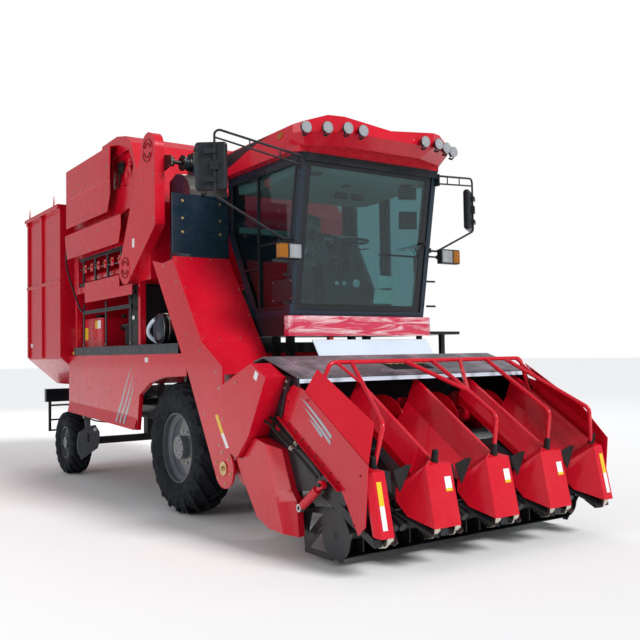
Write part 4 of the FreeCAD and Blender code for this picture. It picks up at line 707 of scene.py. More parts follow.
def header_trim():
    """Bolts, foils, stripes, labels and pipes on the header."""
    panel, flange, bolt = -1.2575, -1.262, -1.2565
    for name, side in SIDES:
        def on(y, z, x=panel):
            """Place on the header's side sheet."""
            return mirrored(at(x, y, z), side)
        form = bmesh.new()
        for line in (((-2.257, 1.207), (-2.391, 1.123), (-2.519, 1.035), (-2.655, 0.930)),
                     ((-2.297, 1.141), (-2.416, 1.058), (-2.518, 0.985), (-2.642, 0.890)),
                     ((-2.363, 1.055), (-2.450, 0.998), (-2.540, 0.930))):
            add_band(form, [on(y, z) for y, z in line], (0.0, 0.010, 0.013, 0.014)[:len(line)], (side, 0, 0))
        piece(f"header_stripes_{name}", "foil", "header", form)
        places = between(on(-2.02, 1.045, flange), on(-2.72, 0.630, flange), 9)
        places += [on(y, z, bolt) for y, z in ((-2.09, 1.16), (-2.90, 0.36), (-2.98, 0.70), (-2.36, 1.18))]
        # painted shade: these bolts take the darker copy of the red, standing for the dark slots along the
        # flange
        bolts(f"side_sheet_bolts_{name}", "header", places, 0.007, (side, 0, 0), "shaded_red")
    cover, low_cover, end_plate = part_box("header_shields")[0].x - 0.0004, -1.3554, -1.2254
    bolts("upper_cover_bolts", "header", facing(cover, ((-1.362, 0.998), (-1.293, 0.781), (-1.354, 0.730),
                                                        (-1.588, 1.30), (-1.296, 1.245))), 0.008)
    for name, finish, x, corners in (
            ("cover_mark_yellow", "yellow", cover,
             ((-1.226, 1.020), (-1.272, 1.031), (-1.372, 0.886), (-1.330, 0.868))),
            ("cover_mark_white", "white", cover,
             ((-1.330, 0.868), (-1.372, 0.886), (-1.461, 0.772), (-1.415, 0.762))),
            ("cover_label", "white", cover,
             ((-1.905, 1.398), (-1.950, 1.372), (-1.915, 1.315), (-1.870, 1.340))),
            ("low_cover_yellow", "yellow", low_cover,
             ((-1.591, 0.589), (-1.652, 0.605), (-1.734, 0.479), (-1.675, 0.462))),
            ("low_cover_white", "white", low_cover,
             ((-1.675, 0.462), (-1.734, 0.479), (-1.829, 0.357), (-1.770, 0.332))),
            ("low_cover_label", "white", low_cover,
             ((-1.847, 0.585), (-1.925, 0.616), (-1.992, 0.530), (-1.922, 0.499))),
            ("end_plate_label", "white", end_plate,
             ((-1.985, 0.750), (-2.042, 0.761), (-2.112, 0.669), (-2.054, 0.646)))):
        sticker(name, finish, "header", facing(x, corners))
    lines = (-1.285, 0.0), (-1.325, 0.028)
    for i, (x, drop) in enumerate(lines):
        pipe(f"hydraulic_line_{i + 1}", "rubber", "header", 0.0125,
             *[(x, y, z - drop) for y, z in ((-1.86, 1.03), (-1.94, 1.015), (-2.03, 0.95), (-2.217, 0.862),
                                             (-2.40, 0.775), (-2.50, 0.715))],
             (x + 0.004, -2.560, 0.660 - drop * 0.4))
    clamp = bmesh.new()
    for x, drop in lines:
        for share in (0, 0.022):
            spot = at(x, -2.222 - share, 0.860 - share * 0.47 - drop)
            add_bar(clamp, spot, spot + Vector((0, -0.014, -0.0066)), 0.0155, 20)
    add_block(clamp, at(-1.345, -2.262, 0.818), at(-1.262, -2.222, 0.824))
    add_bolt(clamp, at(-1.300, -2.245, 0.868), (0, -0.4, 0.9), 0.008)
    piece("line_clamp", "zinc", "header", clamp, bevel=0.001)


RIDGE_Y, RIDGE_Z = -1.720, 1.500
COVER_RUN, COVER_FALL = 0.490, 0.154


def on_cover(x, share, lift=0.003):
    """Place on the front slope of the auger's cover: share 0 at its ridge, 1 at its lip."""
    return at(x, RIDGE_Y - COVER_RUN * share, RIDGE_Z - COVER_FALL * share + lift)


def auger_cover_details():
    """Hinges, service opening, lower lip and feeder sheet of the auger's cover plate. The opening is a
    near-black sheet of painted shade.
    """
    hinges = bmesh.new()
    for x in (-0.955, -0.66, -0.245, 0.165, 0.583, 0.95):
        add_rows(hinges, [(x - 0.016, -1.600, 1.482, x + 0.016, -1.566, 1.490),
                          (x - 0.018, -1.572, 1.492, x + 0.018, -1.572, 1.492, 0.007, 12)])
        add_bolt(hinges, at(x, -1.590, 1.490), (0, -0.2, 1), 0.006)
    piece("cover_hinges", "brass", "header", hinges, bevel=0.001)
    # painted shade: the service opening is a near-black sheet that stands for the shaded hollow behind it
    well = [on_cover(x, share) for x, share in ((-0.26, 0.30), (0.21, 0.30), (0.21, 0.80), (-0.23, 0.80))]
    prism_piece("cover_opening", "hollow_shade", "header", well, (0, 0, 0.002))
    parts = bmesh.new()
    for i in range(7):
        x = -0.21 + i * 0.062
        add_bar(parts, on_cover(x, 0.45, 0.004), on_cover(x + 0.02, 0.62, 0.014), 0.007, 12)
        add_bolt(parts, on_cover(x + 0.015, 0.52, 0.006), (0, -0.3, 1), 0.008)
    add_bar(parts, on_cover(-0.23, 0.55, 0.010), on_cover(0.18, 0.58, 0.012), 0.005, 12)
    piece("cover_opening_parts", "brass", "header", parts)
    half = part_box("auger_cover")[1].x - 0.02
    lip = [at(-half, -2.211, 1.330), at(half, -2.211, 1.330), at(half, -2.213, 1.298),
           at(-half, -2.213, 1.298)]
    prism_piece("cover_lip", "pale", "header", lip, (0, 0.003, 0))
    sheet = [at(-0.598, -1.5665, 1.470), at(0.718, -1.5665, 1.470), at(0.718, -1.4515, 1.638),
             at(-0.598, -1.4515, 1.638)]
    prism_piece("feeder_sheet", "pale", "header", sheet, (0, -0.002, -0.0015))


def drive_lever():
    """Lever with its bracket and link beside the upper drive cover."""
    form = bmesh.new()
    add_prism(form, facing(-1.262, ((-2.035, 1.285), (-2.105, 1.335), (-2.15, 1.325), (-2.11, 1.235),
                                    (-2.05, 1.215))), (-0.006, 0, 0))
    add_bar(form, at(-1.266, -2.10, 1.30), at(-1.266, -1.99, 1.02), 0.008, 14)
    piece("drive_lever", "black", "header", form, bevel=0.001)
    bolts("lever_bolts", "header", facing(-1.268, ((-2.09, 1.312), (-2.07, 1.262))), 0.010)


def nose_trim():
    """Blank labels and reflective strips on the noses."""
    foot, rake, proud = 0.298, 0.092 / 0.427, 0.0012
    for i, x in enumerate(HOODS):
        if abs(x) > 1:
            front, inner = -3.130, -1 if x > 0 else 1
            edges = inner * 0.006, inner * 0.046
            labels = (("strip_yellow", "yellow", 0.505, 0.660), ("strip_white", "white", 0.350, 0.505))
        else:
            front, edges = -3.107, (0.035, 0.095)
            labels = (("label", "white", 0.555, 0.635), ("label_low", "yellow", 0.535, 0.555))
        for name, finish, low, high in labels:
            corners = [at(x + u, front + (z - foot) * rake - proud, z)
                       for u, z in card(edges[0], low, edges[1], high)]
            sticker(f"nose_{name}_{i}", finish, "header", corners, (0, -1, 0.2))


gathering_chains()
auger()
guard_boots()
rubber_ears()
nose_tips()
header_trim()
auger_cover_details()
drive_lever()
nose_trim()


# ---------------------------------------------------------------- body

def body_sides():
    """Stripes, folded foot, labels and fasteners of both body panels."""
    for name, side in SIDES:
        def on(y, z, x=-1.3104):
            """Place on the body's side panel."""
            return mirrored(at(x, y, z), side)
        prism_piece(f"panel_foot_{name}", "red", "machine",
                    [on(0.800, 0.878), on(1.363, 0.908), on(3.040, 0.968), on(3.032, 0.842, -1.337),
                     on(0.800, 0.753, -1.337)], (-side * 0.004, 0, -0.002), 0.001)
        stripes = bmesh.new()
        for line in (((0.862, 1.474), (1.054, 1.267), (1.222, 1.021), (1.321, 0.905)),
                     ((0.835, 1.378), (0.990, 1.182), (1.115, 1.003), (1.212, 0.900)),
                     ((0.817, 1.287), (0.935, 1.119), (1.026, 0.985), (1.104, 0.895))):
            add_band(stripes, [on(y, z) for y, z in line], (0.0, 0.012, 0.019, 0.024), (side, 0, 0))
            y, z = line[-1]
            add_band(stripes, [on(y, z - 0.004, -1.3125), on(y, 0.790 + (y - 0.79) * 0.04, -1.3345)],
                     (0.024, 0.024), (side, 0, 0.2))
        piece(f"panel_stripes_{name}", "foil", "machine", stripes)
        places = between(on(-0.15, 1.585), on(2.75, 1.585), 14) + between(on(0.95, 1.10), on(2.95, 1.18), 4)
        bolts(f"panel_bolts_{name}", "machine", places, 0.008, (side, 0, 0))
        sticker(f"panel_label_{name}", "white", "machine",
                [on(y, z) for y, z in card(0.485, 1.505, 0.565, 1.460)], (side, 0, 0))
        for i, (y, z, finish) in enumerate(((2.842, 1.574, "yellow"), (1.321, 1.587, "white"),
                                            (-0.167, 1.602, "white"))):
            corners = [on(*corner) for corner in card(y - 0.05, z + 0.018, y + 0.05, z - 0.018)]
            sticker(f"beam_label_{name}_{i}", finish, "machine", corners, (side, 0, 0))
        arch = bmesh.new()
        edge = [(-0.415, 1.331), (0.130, 1.311), (0.440, 1.251), (0.720, 1.121), (0.790, 0.752)]
        for one, other in zip(edge, edge[1:]):
            add_prism(arch, [on(*one), on(*other), on(*other, -1.265), on(*one, -1.265)], (0, 0.002, 0.005))
        piece(f"arch_edge_{name}", "red", "machine", arch, bevel=0.001)
    rows_piece("beam_faces", "dark_grey", "machine",
               [(1.3108 * side, -0.245, 1.545, 1.3135 * side, 2.845, 1.636) for side in (RIGHT, LEFT)],
               bevel=0.001)


def perforated_rail():
    """Slotted carrier rail over the engine bay with its posts."""
    rows = [(-1.312, 0.934, 2.037, -1.288, 2.513, 2.080)]
    for y in (0.960, 1.72, 2.485):
        rows += [(-1.306, y - 0.018, low, -1.294, y + 0.018, high)
                 for low, high in ((1.640, 2.038), (2.079, 2.160))]
    rows_piece("carrier_rail", "black", "machine", rows, bevel=0.0015)
    # painted shade: each slot is a near-black disc on the rail's face, standing for the shade in the hole
    holes = bmesh.new()
    for spot in between(at(-1.3122, 1.00, 2.0585), at(-1.3122, 2.45, 2.0585), 26):
        add_bar(holes, spot, spot + Vector((-0.0006, 0, 0)), 0.010, 14)
    piece("rail_slots", "hollow_shade", "machine", holes)
    bolts("rail_bolts", "machine", between(at(-1.306, 0.960, 1.665), at(-1.306, 2.485, 1.665), 3), 0.009)


def engine_bay():
    """Tank fittings, air cleaner details, engine head, pipes and hoses."""
    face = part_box("oil_tank")[0].x - 0.0004
    for name, finish, corners in (("tank_label_yellow", "yellow", card(2.215, 1.965, 2.300, 1.860)),
                                  ("tank_label_white", "white", card(2.110, 1.965, 2.213, 1.860)),
                                  ("tank_label_low", "yellow", card(2.551, 1.880, 2.668, 1.729))):
        sticker(name, finish, "machine", facing(face, corners))
    rows_piece("tank_caps", "plastic", "machine", [
        (-1.05, 2.62, 1.985, -1.05, 2.62, 2.020, 0.050, 32),
        (-1.05, 2.62, 2.020, -1.05, 2.62, 2.045, 0.062, 12, 0.056),
        (-0.90, 2.20, 1.985, -0.90, 2.20, 2.030, 0.035, 24)], 0.003)
    rows_piece("tank_seams", "red", "machine",
               [(-1.2285, 2.10, z, -1.2252, 2.83, z + 0.012) for z in (1.672, 1.955)]
               + [(-1.2295, y, 1.66, -1.2252, y + 0.014, 1.966) for y in (2.36, 2.72)], bevel=0.001)
    bolts("tank_bolts", "machine", between(at(-1.226, 2.14, 1.70), at(-1.226, 2.80, 1.70), 7)
          + between(at(-1.226, 2.335, 1.75), at(-1.226, 2.335, 1.93), 4), 0.007)
    rows_piece("cleaner_cover", "plastic", "machine",
               [(-1.188, 0.902, 2.252, -0.892, 1.348, 2.292), (-1.165, 0.930, 2.290, -0.920, 1.320, 2.300)]
               + [(-1.1845, 0.925, z, -1.1795, 1.325, z + 0.05) for z in (1.72, 1.86, 2.00, 2.14)]
               + [(-1.191, y - 0.012, 2.20, -1.180, y + 0.012, 2.27) for y in (0.96, 1.14, 1.29)],
               bevel=0.004)
    for name, finish, corners in (("cleaner_label_white", "white", card(1.150, 1.965, 1.215, 1.925)),
                                  # partly painted shade: a real red label, coloured with the darker copy of
                                  # the red enamel
                                  ("cleaner_label_red", "shaded_red", card(0.955, 1.965, 1.035, 1.915))):
        sticker(name, finish, "machine", facing(-1.1848, corners))
    rows_piece("engine_head", "cast", "machine",
               [(-0.30, 0.98, 2.190, 0.30, 1.96, 2.262)]
               + [(-0.27, 1.02 + i * 0.155, 2.262, 0.27, 1.11 + i * 0.155, 2.280) for i in range(6)]
               + [(-0.405, 0.98 + i * 0.2, 1.74, -0.378, 1.12 + i * 0.2, 2.10) for i in range(5)],
               bevel=0.006)
    rows = []
    for y, z, radius in ((0.985, 1.86, 0.14), (1.30, 2.02, 0.085), (1.62, 1.80, 0.11)):
        rows += [(-0.470, y, z, -0.380, y, z, radius, 40), (-0.482, y, z, -0.470, y, z, radius * 0.45, 24)]
    rows_piece("engine_pulleys", "dark_metal", "machine", rows, 0.004)
    pipe("engine_intake", "rubber", "machine", 0.045, (-0.90, 1.12, 2.12), (-0.78, 1.12, 2.14),
         (-0.66, 1.20, 2.20), (-0.55, 1.30, 2.225), (-0.30, 1.40, 2.225))
    pipe("engine_coolant", "rubber", "machine", 0.026, (-0.40, 1.75, 1.98), (-0.60, 1.76, 2.00),
         (-0.82, 1.86, 1.96), (-0.95, 1.95, 1.88), (-0.98, 2.06, 1.86))
    pipe("engine_fuel", "brass", "machine", 0.009, (-0.40, 1.45, 1.88), (-0.62, 1.46, 1.90),
         (-0.86, 1.50, 1.84), (-1.00, 1.56, 1.72), (-1.02, 1.58, 1.65))
    rows = []
    for y in (1.46, 1.60, 1.74):
        rows += [(-1.02, y, 1.66, -1.02, y, 1.84, 0.048, 28, 0.044),
                 (-1.02, y, 1.84, -1.02, y, 1.875, 0.054, 20, 0.050)]
    rows += [(-1.09, 1.40, 1.868, -0.95, 1.80, 1.895), (-0.985, 1.42, 1.640, -0.955, 1.78, 1.895)]
    rows_piece("fuel_filters", "plastic", "machine", rows, 0.003)
    rows_piece("tank_straps", "zinc", "machine",
               [(x - 0.014, 0.5, 1.80, x + 0.014, 0.5, 1.80, 0.1635, 56) for x in (-1.120, -0.900)]
               + [(-1.1845, 0.5, 1.80, -1.178, 0.5, 1.80, 0.142, 48)], 0.0015)
    bulge = [(-1.184 - 0.030 * math.sin(i * math.pi / 16), 0.138 * math.cos(i * math.pi / 16) + 0.002)
             for i in range(9)]
    rows_piece("tank_dome", "navy", "machine",
               [(x, 0.5, 1.80, after, 0.5, 1.80, radius, 40, far)
                for (x, radius), (after, far) in zip(bulge, bulge[1:])])
    pipe("tank_elbow", "pale", "machine", 0.022, (-1.14, 0.62, 1.66), (-1.20, 0.66, 1.70),
         (-1.235, 0.68, 1.78), (-1.215, 0.62, 1.87), (-1.20, 0.55, 1.90))
    rows_piece("exhaust_clamps", "dark_metal", "machine", [
        (-1.17, 2.96, 1.60, -1.17, 2.96, 1.63, 0.052, 32), (-1.17, 2.96, 1.76, -1.17, 2.96, 1.785, 0.052, 32),
        (-1.17, 2.868, 1.88, -1.17, 2.846, 1.88, 0.060, 32)], 0.001)


def add_gear(form, middle, radius, teeth, depth):
    """Flat toothed wheel that faces the machine's right."""
    thick = 0.016
    outline = [around(middle, 2 * math.pi * (i + share) / teeth, radius - drop) for i in range(teeth)
               for share, drop in ((-0.28, depth), (-0.14, 0), (0.14, 0), (0.28, depth))]
    add_prism(form, outline, (thick, 0, 0))
    add_bar(form, middle + Vector((-0.012, 0, 0)), middle + Vector((thick, 0, 0)), radius * 0.3, 24)


def husker_details():
    """Ribs, bolts and edges of the husker's covers, its open drive and the chain case's rim."""
    rows_piece("cover_ribs", "red", "machine",
               [(-1.4005, 1.335, z, -1.4005, 2.845, z, 0.007, 10) for z in (3.480, 3.506)]
               + [(-1.4035, 1.420, 3.175, -1.4002, 2.858, 3.183),
                  (-1.402, 1.315, 3.640, -1.388, 1.330, 3.842)])
    bolts("cover_bolts", "machine", facing(-1.400, (
        (1.39, 3.62), (1.42, 3.40), (2.05, 3.56), (2.35, 3.60), (2.60, 3.55), (2.75, 3.40),
        (1.50, 3.16), (1.85, 3.155), (2.20, 3.155), (2.55, 3.155), (1.20, 2.96), (1.70, 2.96),
        (2.60, 2.96), (2.86, 3.0), (1.25, 2.775), (2.0, 2.775), (2.7, 2.775),
        (0.85, 2.20), (1.20, 2.355), (1.60, 2.20), (2.05, 2.355))), 0.008)
    gears = bmesh.new()
    for y, z, radius, teeth, depth in ((1.050, 3.475, 0.115, 22, 0.014), (1.205, 3.385, 0.062, 13, 0.014),
                                       (0.985, 3.610, 0.048, 11, 0.012)):
        add_gear(gears, at(-1.296, y, z), radius, teeth, depth)
    add_rows(gears, [(-1.292, 1.05, 3.475, -1.10, 1.05, 3.475, 0.022, 20),
                     (-1.292, 1.205, 3.385, -1.10, 1.205, 3.385, 0.018, 20)])
    piece("drive_gears", "red", "machine", gears, bevel=0.0008)
    rows_piece("drive_back_sheet", "red", "machine", [(-1.262, 0.93, 3.18, -1.258, 1.66, 3.76)], bevel=0.001)
    motor = bmesh.new()
    add_rows(motor, [(-1.308, 1.258, 3.597, -1.16, 1.258, 3.597, 0.052, 32),
                     (-1.322, 1.258, 3.597, -1.308, 1.258, 3.597, 0.030, 24),
                     (-1.302, 1.17, 3.520, -1.290, 1.33, 3.665)])
    for spot in facing(-1.302, ((1.19, 3.54), (1.31, 3.54), (1.31, 3.645), (1.20, 3.645))):
        add_bolt(motor, spot, (RIGHT, 0, 0), 0.009)
    piece("drive_motor", "dark_metal", "machine", motor, bevel=0.002)
    pipe("motor_hose", "rubber", "machine", 0.011, (-1.300, 1.26, 3.54), (-1.296, 1.275, 3.47),
         (-1.270, 1.33, 3.40), (-1.235, 1.40, 3.37), (-1.20, 1.45, 3.42))
    rim = bmesh.new()
    add_line(rim, facing(-1.3985, ((0.062, 3.56), (0.062, 2.801), (0.655, 2.385))), 0.004)
    piece("case_rim", "red", "machine", rim)
    # painted shade: the grooves are near-black beads that stand for the shade inside them
    for i, (y, z, radius) in enumerate(((0.240, 3.560, 0.112), (0.860, 2.450, 0.108))):
        groove = bmesh.new()
        for start in (25, 205):
            for reach in (radius, radius * 0.62):
                add_line(groove, [around(at(-1.4045, y, z), math.radians(start) + k * 0.21, reach)
                                  for k in range(13)], 0.0035)
        piece(f"case_groove_{i}", "hollow_shade", "machine", groove)
    sticker("case_label", "white", "machine", facing(-1.4003, card(0.60, 2.730, 0.66, 2.640)))
    bolts("case_bolts", "machine", facing(-1.400, ((0.10, 3.30), (0.10, 2.86), (0.40, 3.30), (0.36, 2.62),
                                                   (0.62, 2.45), (0.68, 3.05), (0.93, 2.60))), 0.008)
    pipe("cover_stay", "black", "machine", 0.011, (-1.372, 2.885, 2.95), (-1.380, 2.905, 2.90),
         (-1.380, 2.945, 2.76), (-1.376, 2.90, 2.60), (-1.34, 2.66, 2.24), (-1.325, 2.54, 2.09),
         (-1.31, 2.50, 2.07))
    rows_piece("roll_frame", "black", "machine",
               [(-1.287, 1.165, z - 0.02, -1.262, 2.695, z + 0.02) for z in (2.405, 2.715)]
               + [(-1.284, y - 0.02, 2.39, -1.266, y + 0.02, 2.73) for y in (1.30, 1.72, 2.14, 2.56)]
               + [(-1.275, 1.18, 2.56, -1.275, 2.68, 2.60, 0.012, 14)], 0.002)
    rows = []
    for i in range(6):
        y = 1.30 + i * 0.23
        rows += [(-1.292, y - 0.030, 2.545, -1.286, y + 0.055, 2.640),
                 (-1.300, y + 0.01, 2.60, -1.286, y + 0.01, 2.60, 0.016, 16)]
    rows_piece("roll_levers", "red", "machine", rows, 0.002)
    bolts("roll_bolts", "machine", between(at(-1.300, 1.31, 2.60), at(-1.300, 2.46, 2.60), 6), 0.012,
          finish="brass")


def tower_details():
    """Bolts and folds of the elevator's head, its curved drum and the drive gearbox on top."""
    front = -0.3004
    rows_piece("tower_folds", "navy", "machine",
               [(-1.378, front, z, -0.80, front, z, 0.0035, 8) for z in (2.803, 2.700)])
    places = [at(x, front, z) for x in (-1.280, -0.885) for z in (2.980, 2.815, 2.685)]
    bolts("tower_bolts", "machine", places, 0.010, (0, -1, 0), "brass")
    line = [(-0.302, 3.052), (-0.297, 3.125), (-0.262, 3.185), (-0.205, 3.235), (-0.130, 3.272),
            (-0.060, 3.293), (0.022, 3.306)]
    back = [(y + 0.010, z - 0.014) for y, z in reversed(line)]
    drum = bmesh.new()
    add_prism(drum, facing(-1.199, line + back), (0.396, 0, 0))
    piece("tower_drum", "drum", "machine", drum, smooth=60.0)
    rows_piece("tower_latch", "dark_metal", "machine", [
        (-1.06, -0.318, 3.060, -1.06, -0.318, 3.085, 0.022, 20),
        (-1.06, -0.325, 3.050, -1.06, -0.293, 3.060, 0.010, 16)], 0.002)
    box = bmesh.new()
    add_rows(box, [(x0, -0.065, 3.400, x1, -0.065, 3.400, radius, 32) for x0, x1, radius in
                   ((-1.176, -1.158, 0.078), (-1.110, -1.092, 0.074), (-1.010, -0.990, 0.070),
                    (-0.862, -0.846, 0.060))])
    add_rows(box, [(-1.085, -0.135, 3.380, -0.925, -0.005, 3.500),
                   (-1.005, -0.068, 3.500, -1.005, -0.068, 3.545, 0.036, 24),
                   (-0.93, -0.12, 3.36, -0.84, -0.02, 3.455)])
    for i in range(8):
        add_bolt(box, around(at(-1.176, -0.065, 3.400), i * math.pi / 4, 0.060), (RIGHT, 0, 0), 0.008)
    piece("tower_gearbox", "dark_metal", "machine", box, bevel=0.003)
    shaft = bmesh.new()
    add_rows(shaft, [(-1.300, -0.065, 3.400, -1.176, -0.065, 3.400, 0.020, 24),
                     (-1.292, -0.065, 3.400, -1.262, -0.065, 3.400, 0.045, 28)])
    add_prism(shaft, facing(-1.300, ((0.10, 3.50), (-0.10, 3.455), (-0.115, 3.36), (0.08, 3.33))),
              (0.010, 0, 0))
    piece("tower_shaft", "dark_metal", "machine", shaft, bevel=0.002)
    ports = (-1.04, -0.10), (-0.97, -0.03), (-0.90, -0.10)
    for i, (x, y) in enumerate(ports):
        pipe(f"tower_hose_{i}", "rubber", "machine", 0.011, (x, y, 3.49), (x, y, 3.545),
             (x + 0.02, y + 0.06, 3.575), (x + 0.06, y + 0.16, 3.53), (x + 0.08, 0.15, 3.40),
             (x + 0.08, 0.21, 3.20))
    rows_piece("tower_fittings", "brass", "machine",
               [(x, y, 3.455, x, y, 3.515, 0.016, 6) for x, y in ports], 0.0008)


SLOPE_Y, SLOPE_Z = -1.1163, 1.353     # the foot of the elevator's slope
SLOPE_RUN = 0.7498                    # how far the slope goes back for its height
SLOPE_NORMAL = (0, -0.80, 0.60)


def on_slope(x, z, lift=0.0):
    """Place on the sheet over the elevator's slope."""
    return at(x, SLOPE_Y + (z - SLOPE_Z) * SLOPE_RUN + lift * SLOPE_NORMAL[1], z + lift * SLOPE_NORMAL[2])


def slope_details():
    """Dark strip at the slope sheet's foot, its bolts, and the pivot's cover disc."""
    prism_piece("slope_strip", "navy", "machine",
                [on_slope(x, z, 0.001) for x, z in card(-1.3845, 1.358, -0.797, 1.628)], (0, -0.0016, 0.0012))
    places = [on_slope(x, z) for x in (-1.372, -0.812) for z in (1.665, 1.885, 2.132, 2.405)]
    places += [on_slope(x, z) for z in (1.660, 2.425) for x in (-1.20, -1.00)]
    bolts("slope_bolts", "machine", places, 0.009, SLOPE_NORMAL)
    disc = bmesh.new()
    hub = at(-1.405, -1.320, 0.590)
    add_bar(disc, hub, hub + Vector((-0.010, 0, 0)), 0.058, 40)
    add_bolt(disc, at(-1.415, -1.320, 0.590), (RIGHT, 0, 0), 0.018)
    for i in range(6):
        add_bolt(disc, around(hub, i * math.pi / 3 + 0.3, 0.125), (RIGHT, 0, 0), 0.010)
    piece("pivot_cover", "brass", "machine", disc, bevel=0.001)
    edge = bmesh.new()
    add_line(edge, facing(-1.4045, ((-1.310, 0.885), (-1.310, 1.420), (-0.940, 1.630), (-0.350, 2.420))),
             0.004)
    piece("shield_edge", "red", "machine", edge)
    bolts("shield_bolts", "machine", facing(-1.405, (
        (-0.14, 2.37), (-0.42, 2.20), (-0.64, 1.72), (-0.90, 1.56), (-1.20, 1.38), (-1.25, 0.98),
        (-0.98, 1.02))), 0.008)


body_sides()
perforated_rail()
engine_bay()
husker_details()
tower_details()
slope_details()


# ---------------------------------------------------------------- cab

SILL_Y, SILL_Z = -1.3442, 1.9003
PANE_LEAN, PANE_RISE = 0.2208, 1.2794


def on_pane(x, share, lift=0.0):
    """Place on the windscreen's outer face; share runs from its sill to its head."""
    return at(x, SILL_Y - PANE_LEAN * share - lift, SILL_Z + PANE_RISE * share)


def windscreen():
    """Black border round the glass, wiper and inner blank cards."""
    border = bmesh.new()
    outer = [on_pane(x, share, 0.0015) for x, share in card(-0.719, 0.001, 0.719, 0.999)]
    inner = [on_pane(x, share, 0.0015) for x, share in card(-0.655, 0.045, 0.655, 0.965)]
    ring(border, outer, inner, (0, 0.0012, 0))
    piece("screen_border", "black", "machine", border)
    wiper = bmesh.new()
    for start, end, radius, sides in (((0.690, 0.505, 0.001), (0.690, 0.505, 0.045), 0.020, 20),
                                      ((0.690, 0.505, 0.035), (0.420, 0.450, 0.030), 0.007, 12),
                                      ((0.560, 0.478, 0.032), (0.640, 0.415, 0.016), 0.006, 12)):
        add_bar(wiper, on_pane(*start), on_pane(*end), radius, sides)
    add_prism(wiper, [on_pane(x, share, 0.014) for x, share in
                      ((0.640, 0.418), (0.640, 0.406), (0.165, 0.402), (0.165, 0.414))], (0, 0.012, 0))
    piece("screen_wiper", "black", "machine", wiper, bevel=0.001)
    for i, corners in enumerate((card(0.190, 0.175, 0.450, 0.262), card(0.160, 0.060, 0.380, 0.160))):
        prism_piece(f"screen_card_{i}", "card", "machine",
                    [on_pane(x, share, -0.010) for x, share in corners], (0, 0.002, 0))


def side_glass_trim():
    """Slim bars of the sliding window and the black plate on the right side of the cab."""
    x = -0.772
    bars = bmesh.new()
    add_rows(bars, [(x, -0.848, 1.925, -0.748, -0.822, 3.178), (x, -1.395, 2.505, -0.752, -0.840, 2.525),
                    (x, -0.835, 2.300, -0.752, -0.500, 2.320)])
    outer = ((-1.296, 1.912), (-1.522, 3.182), (-0.318, 3.182), (-0.318, 2.700), (-0.775, 1.912))
    inner = ((-1.268, 1.940), (-1.488, 3.154), (-0.346, 3.154), (-0.346, 2.712), (-0.790, 1.940))
    ring(bars, facing(x, outer), facing(x, inner), (0.012, 0, 0))
    piece("window_bars", "black", "machine", bars, bevel=0.001)
    rows_piece("side_plate", "black", "machine", [(-0.792, -1.440, 1.975, -0.780, -1.105, 2.172),
                                                  (-0.781, -1.34, 2.02, -0.768, -1.30, 2.13)], bevel=0.004)
    bolts("side_plate_bolts", "machine",
          facing(-0.792, [(y, z) for y in (-1.42, -1.125) for z in (1.995, 2.152)]), 0.005)
    pegs = bmesh.new()
    for side in (RIGHT, LEFT):
        for z in (1.96, 2.20):
            add_bar(pegs, mirrored(at(x, -1.402, z), side), mirrored(at(-0.87, -1.415, z), side), 0.010, 14)
    piece("step_pegs", "black", "machine", pegs)


def door():
    """Glazed door: frame, hinges, pane and outer handle."""
    form = bmesh.new()
    ring(form, facing(0.728, ((-1.282, 1.918), (-1.490, 3.172), (-0.826, 3.172), (-0.826, 1.918))),
         facing(0.728, ((-1.230, 1.973), (-1.418, 3.117), (-0.881, 3.117), (-0.881, 1.973))), (0.042, 0, 0))
    for z in (2.080, 2.980):
        add_rows(form, [(0.758, -0.850, z, 0.785, -0.826, z + 0.040),
                        (0.785, -0.822, z, 0.785, -0.822, z + 0.040, 0.012, 20)])
    made = piece("door_frame", "navy", "door", form, bevel=0.003)
    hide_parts("cab_door")
    prism_piece("door_pane", "glass", "door", facing(0.746, (
        (-1.229, 1.972), (-1.419, 3.118), (-0.880, 3.118), (-0.880, 1.972))), (0.006, 0, 0))
    rows_piece("door_handle", "plastic", "door", [
        (0.770, -1.262, 2.30, 0.778, -1.222, 2.46),
        (0.778, -1.245, 2.32, 0.800, -1.245, 2.32, 0.007, 12),
        (0.778, -1.258, 2.44, 0.800, -1.258, 2.44, 0.007, 12),
        (0.800, -1.2435, 2.31, 0.800, -1.2595, 2.45, 0.009, 14)], 0.002)


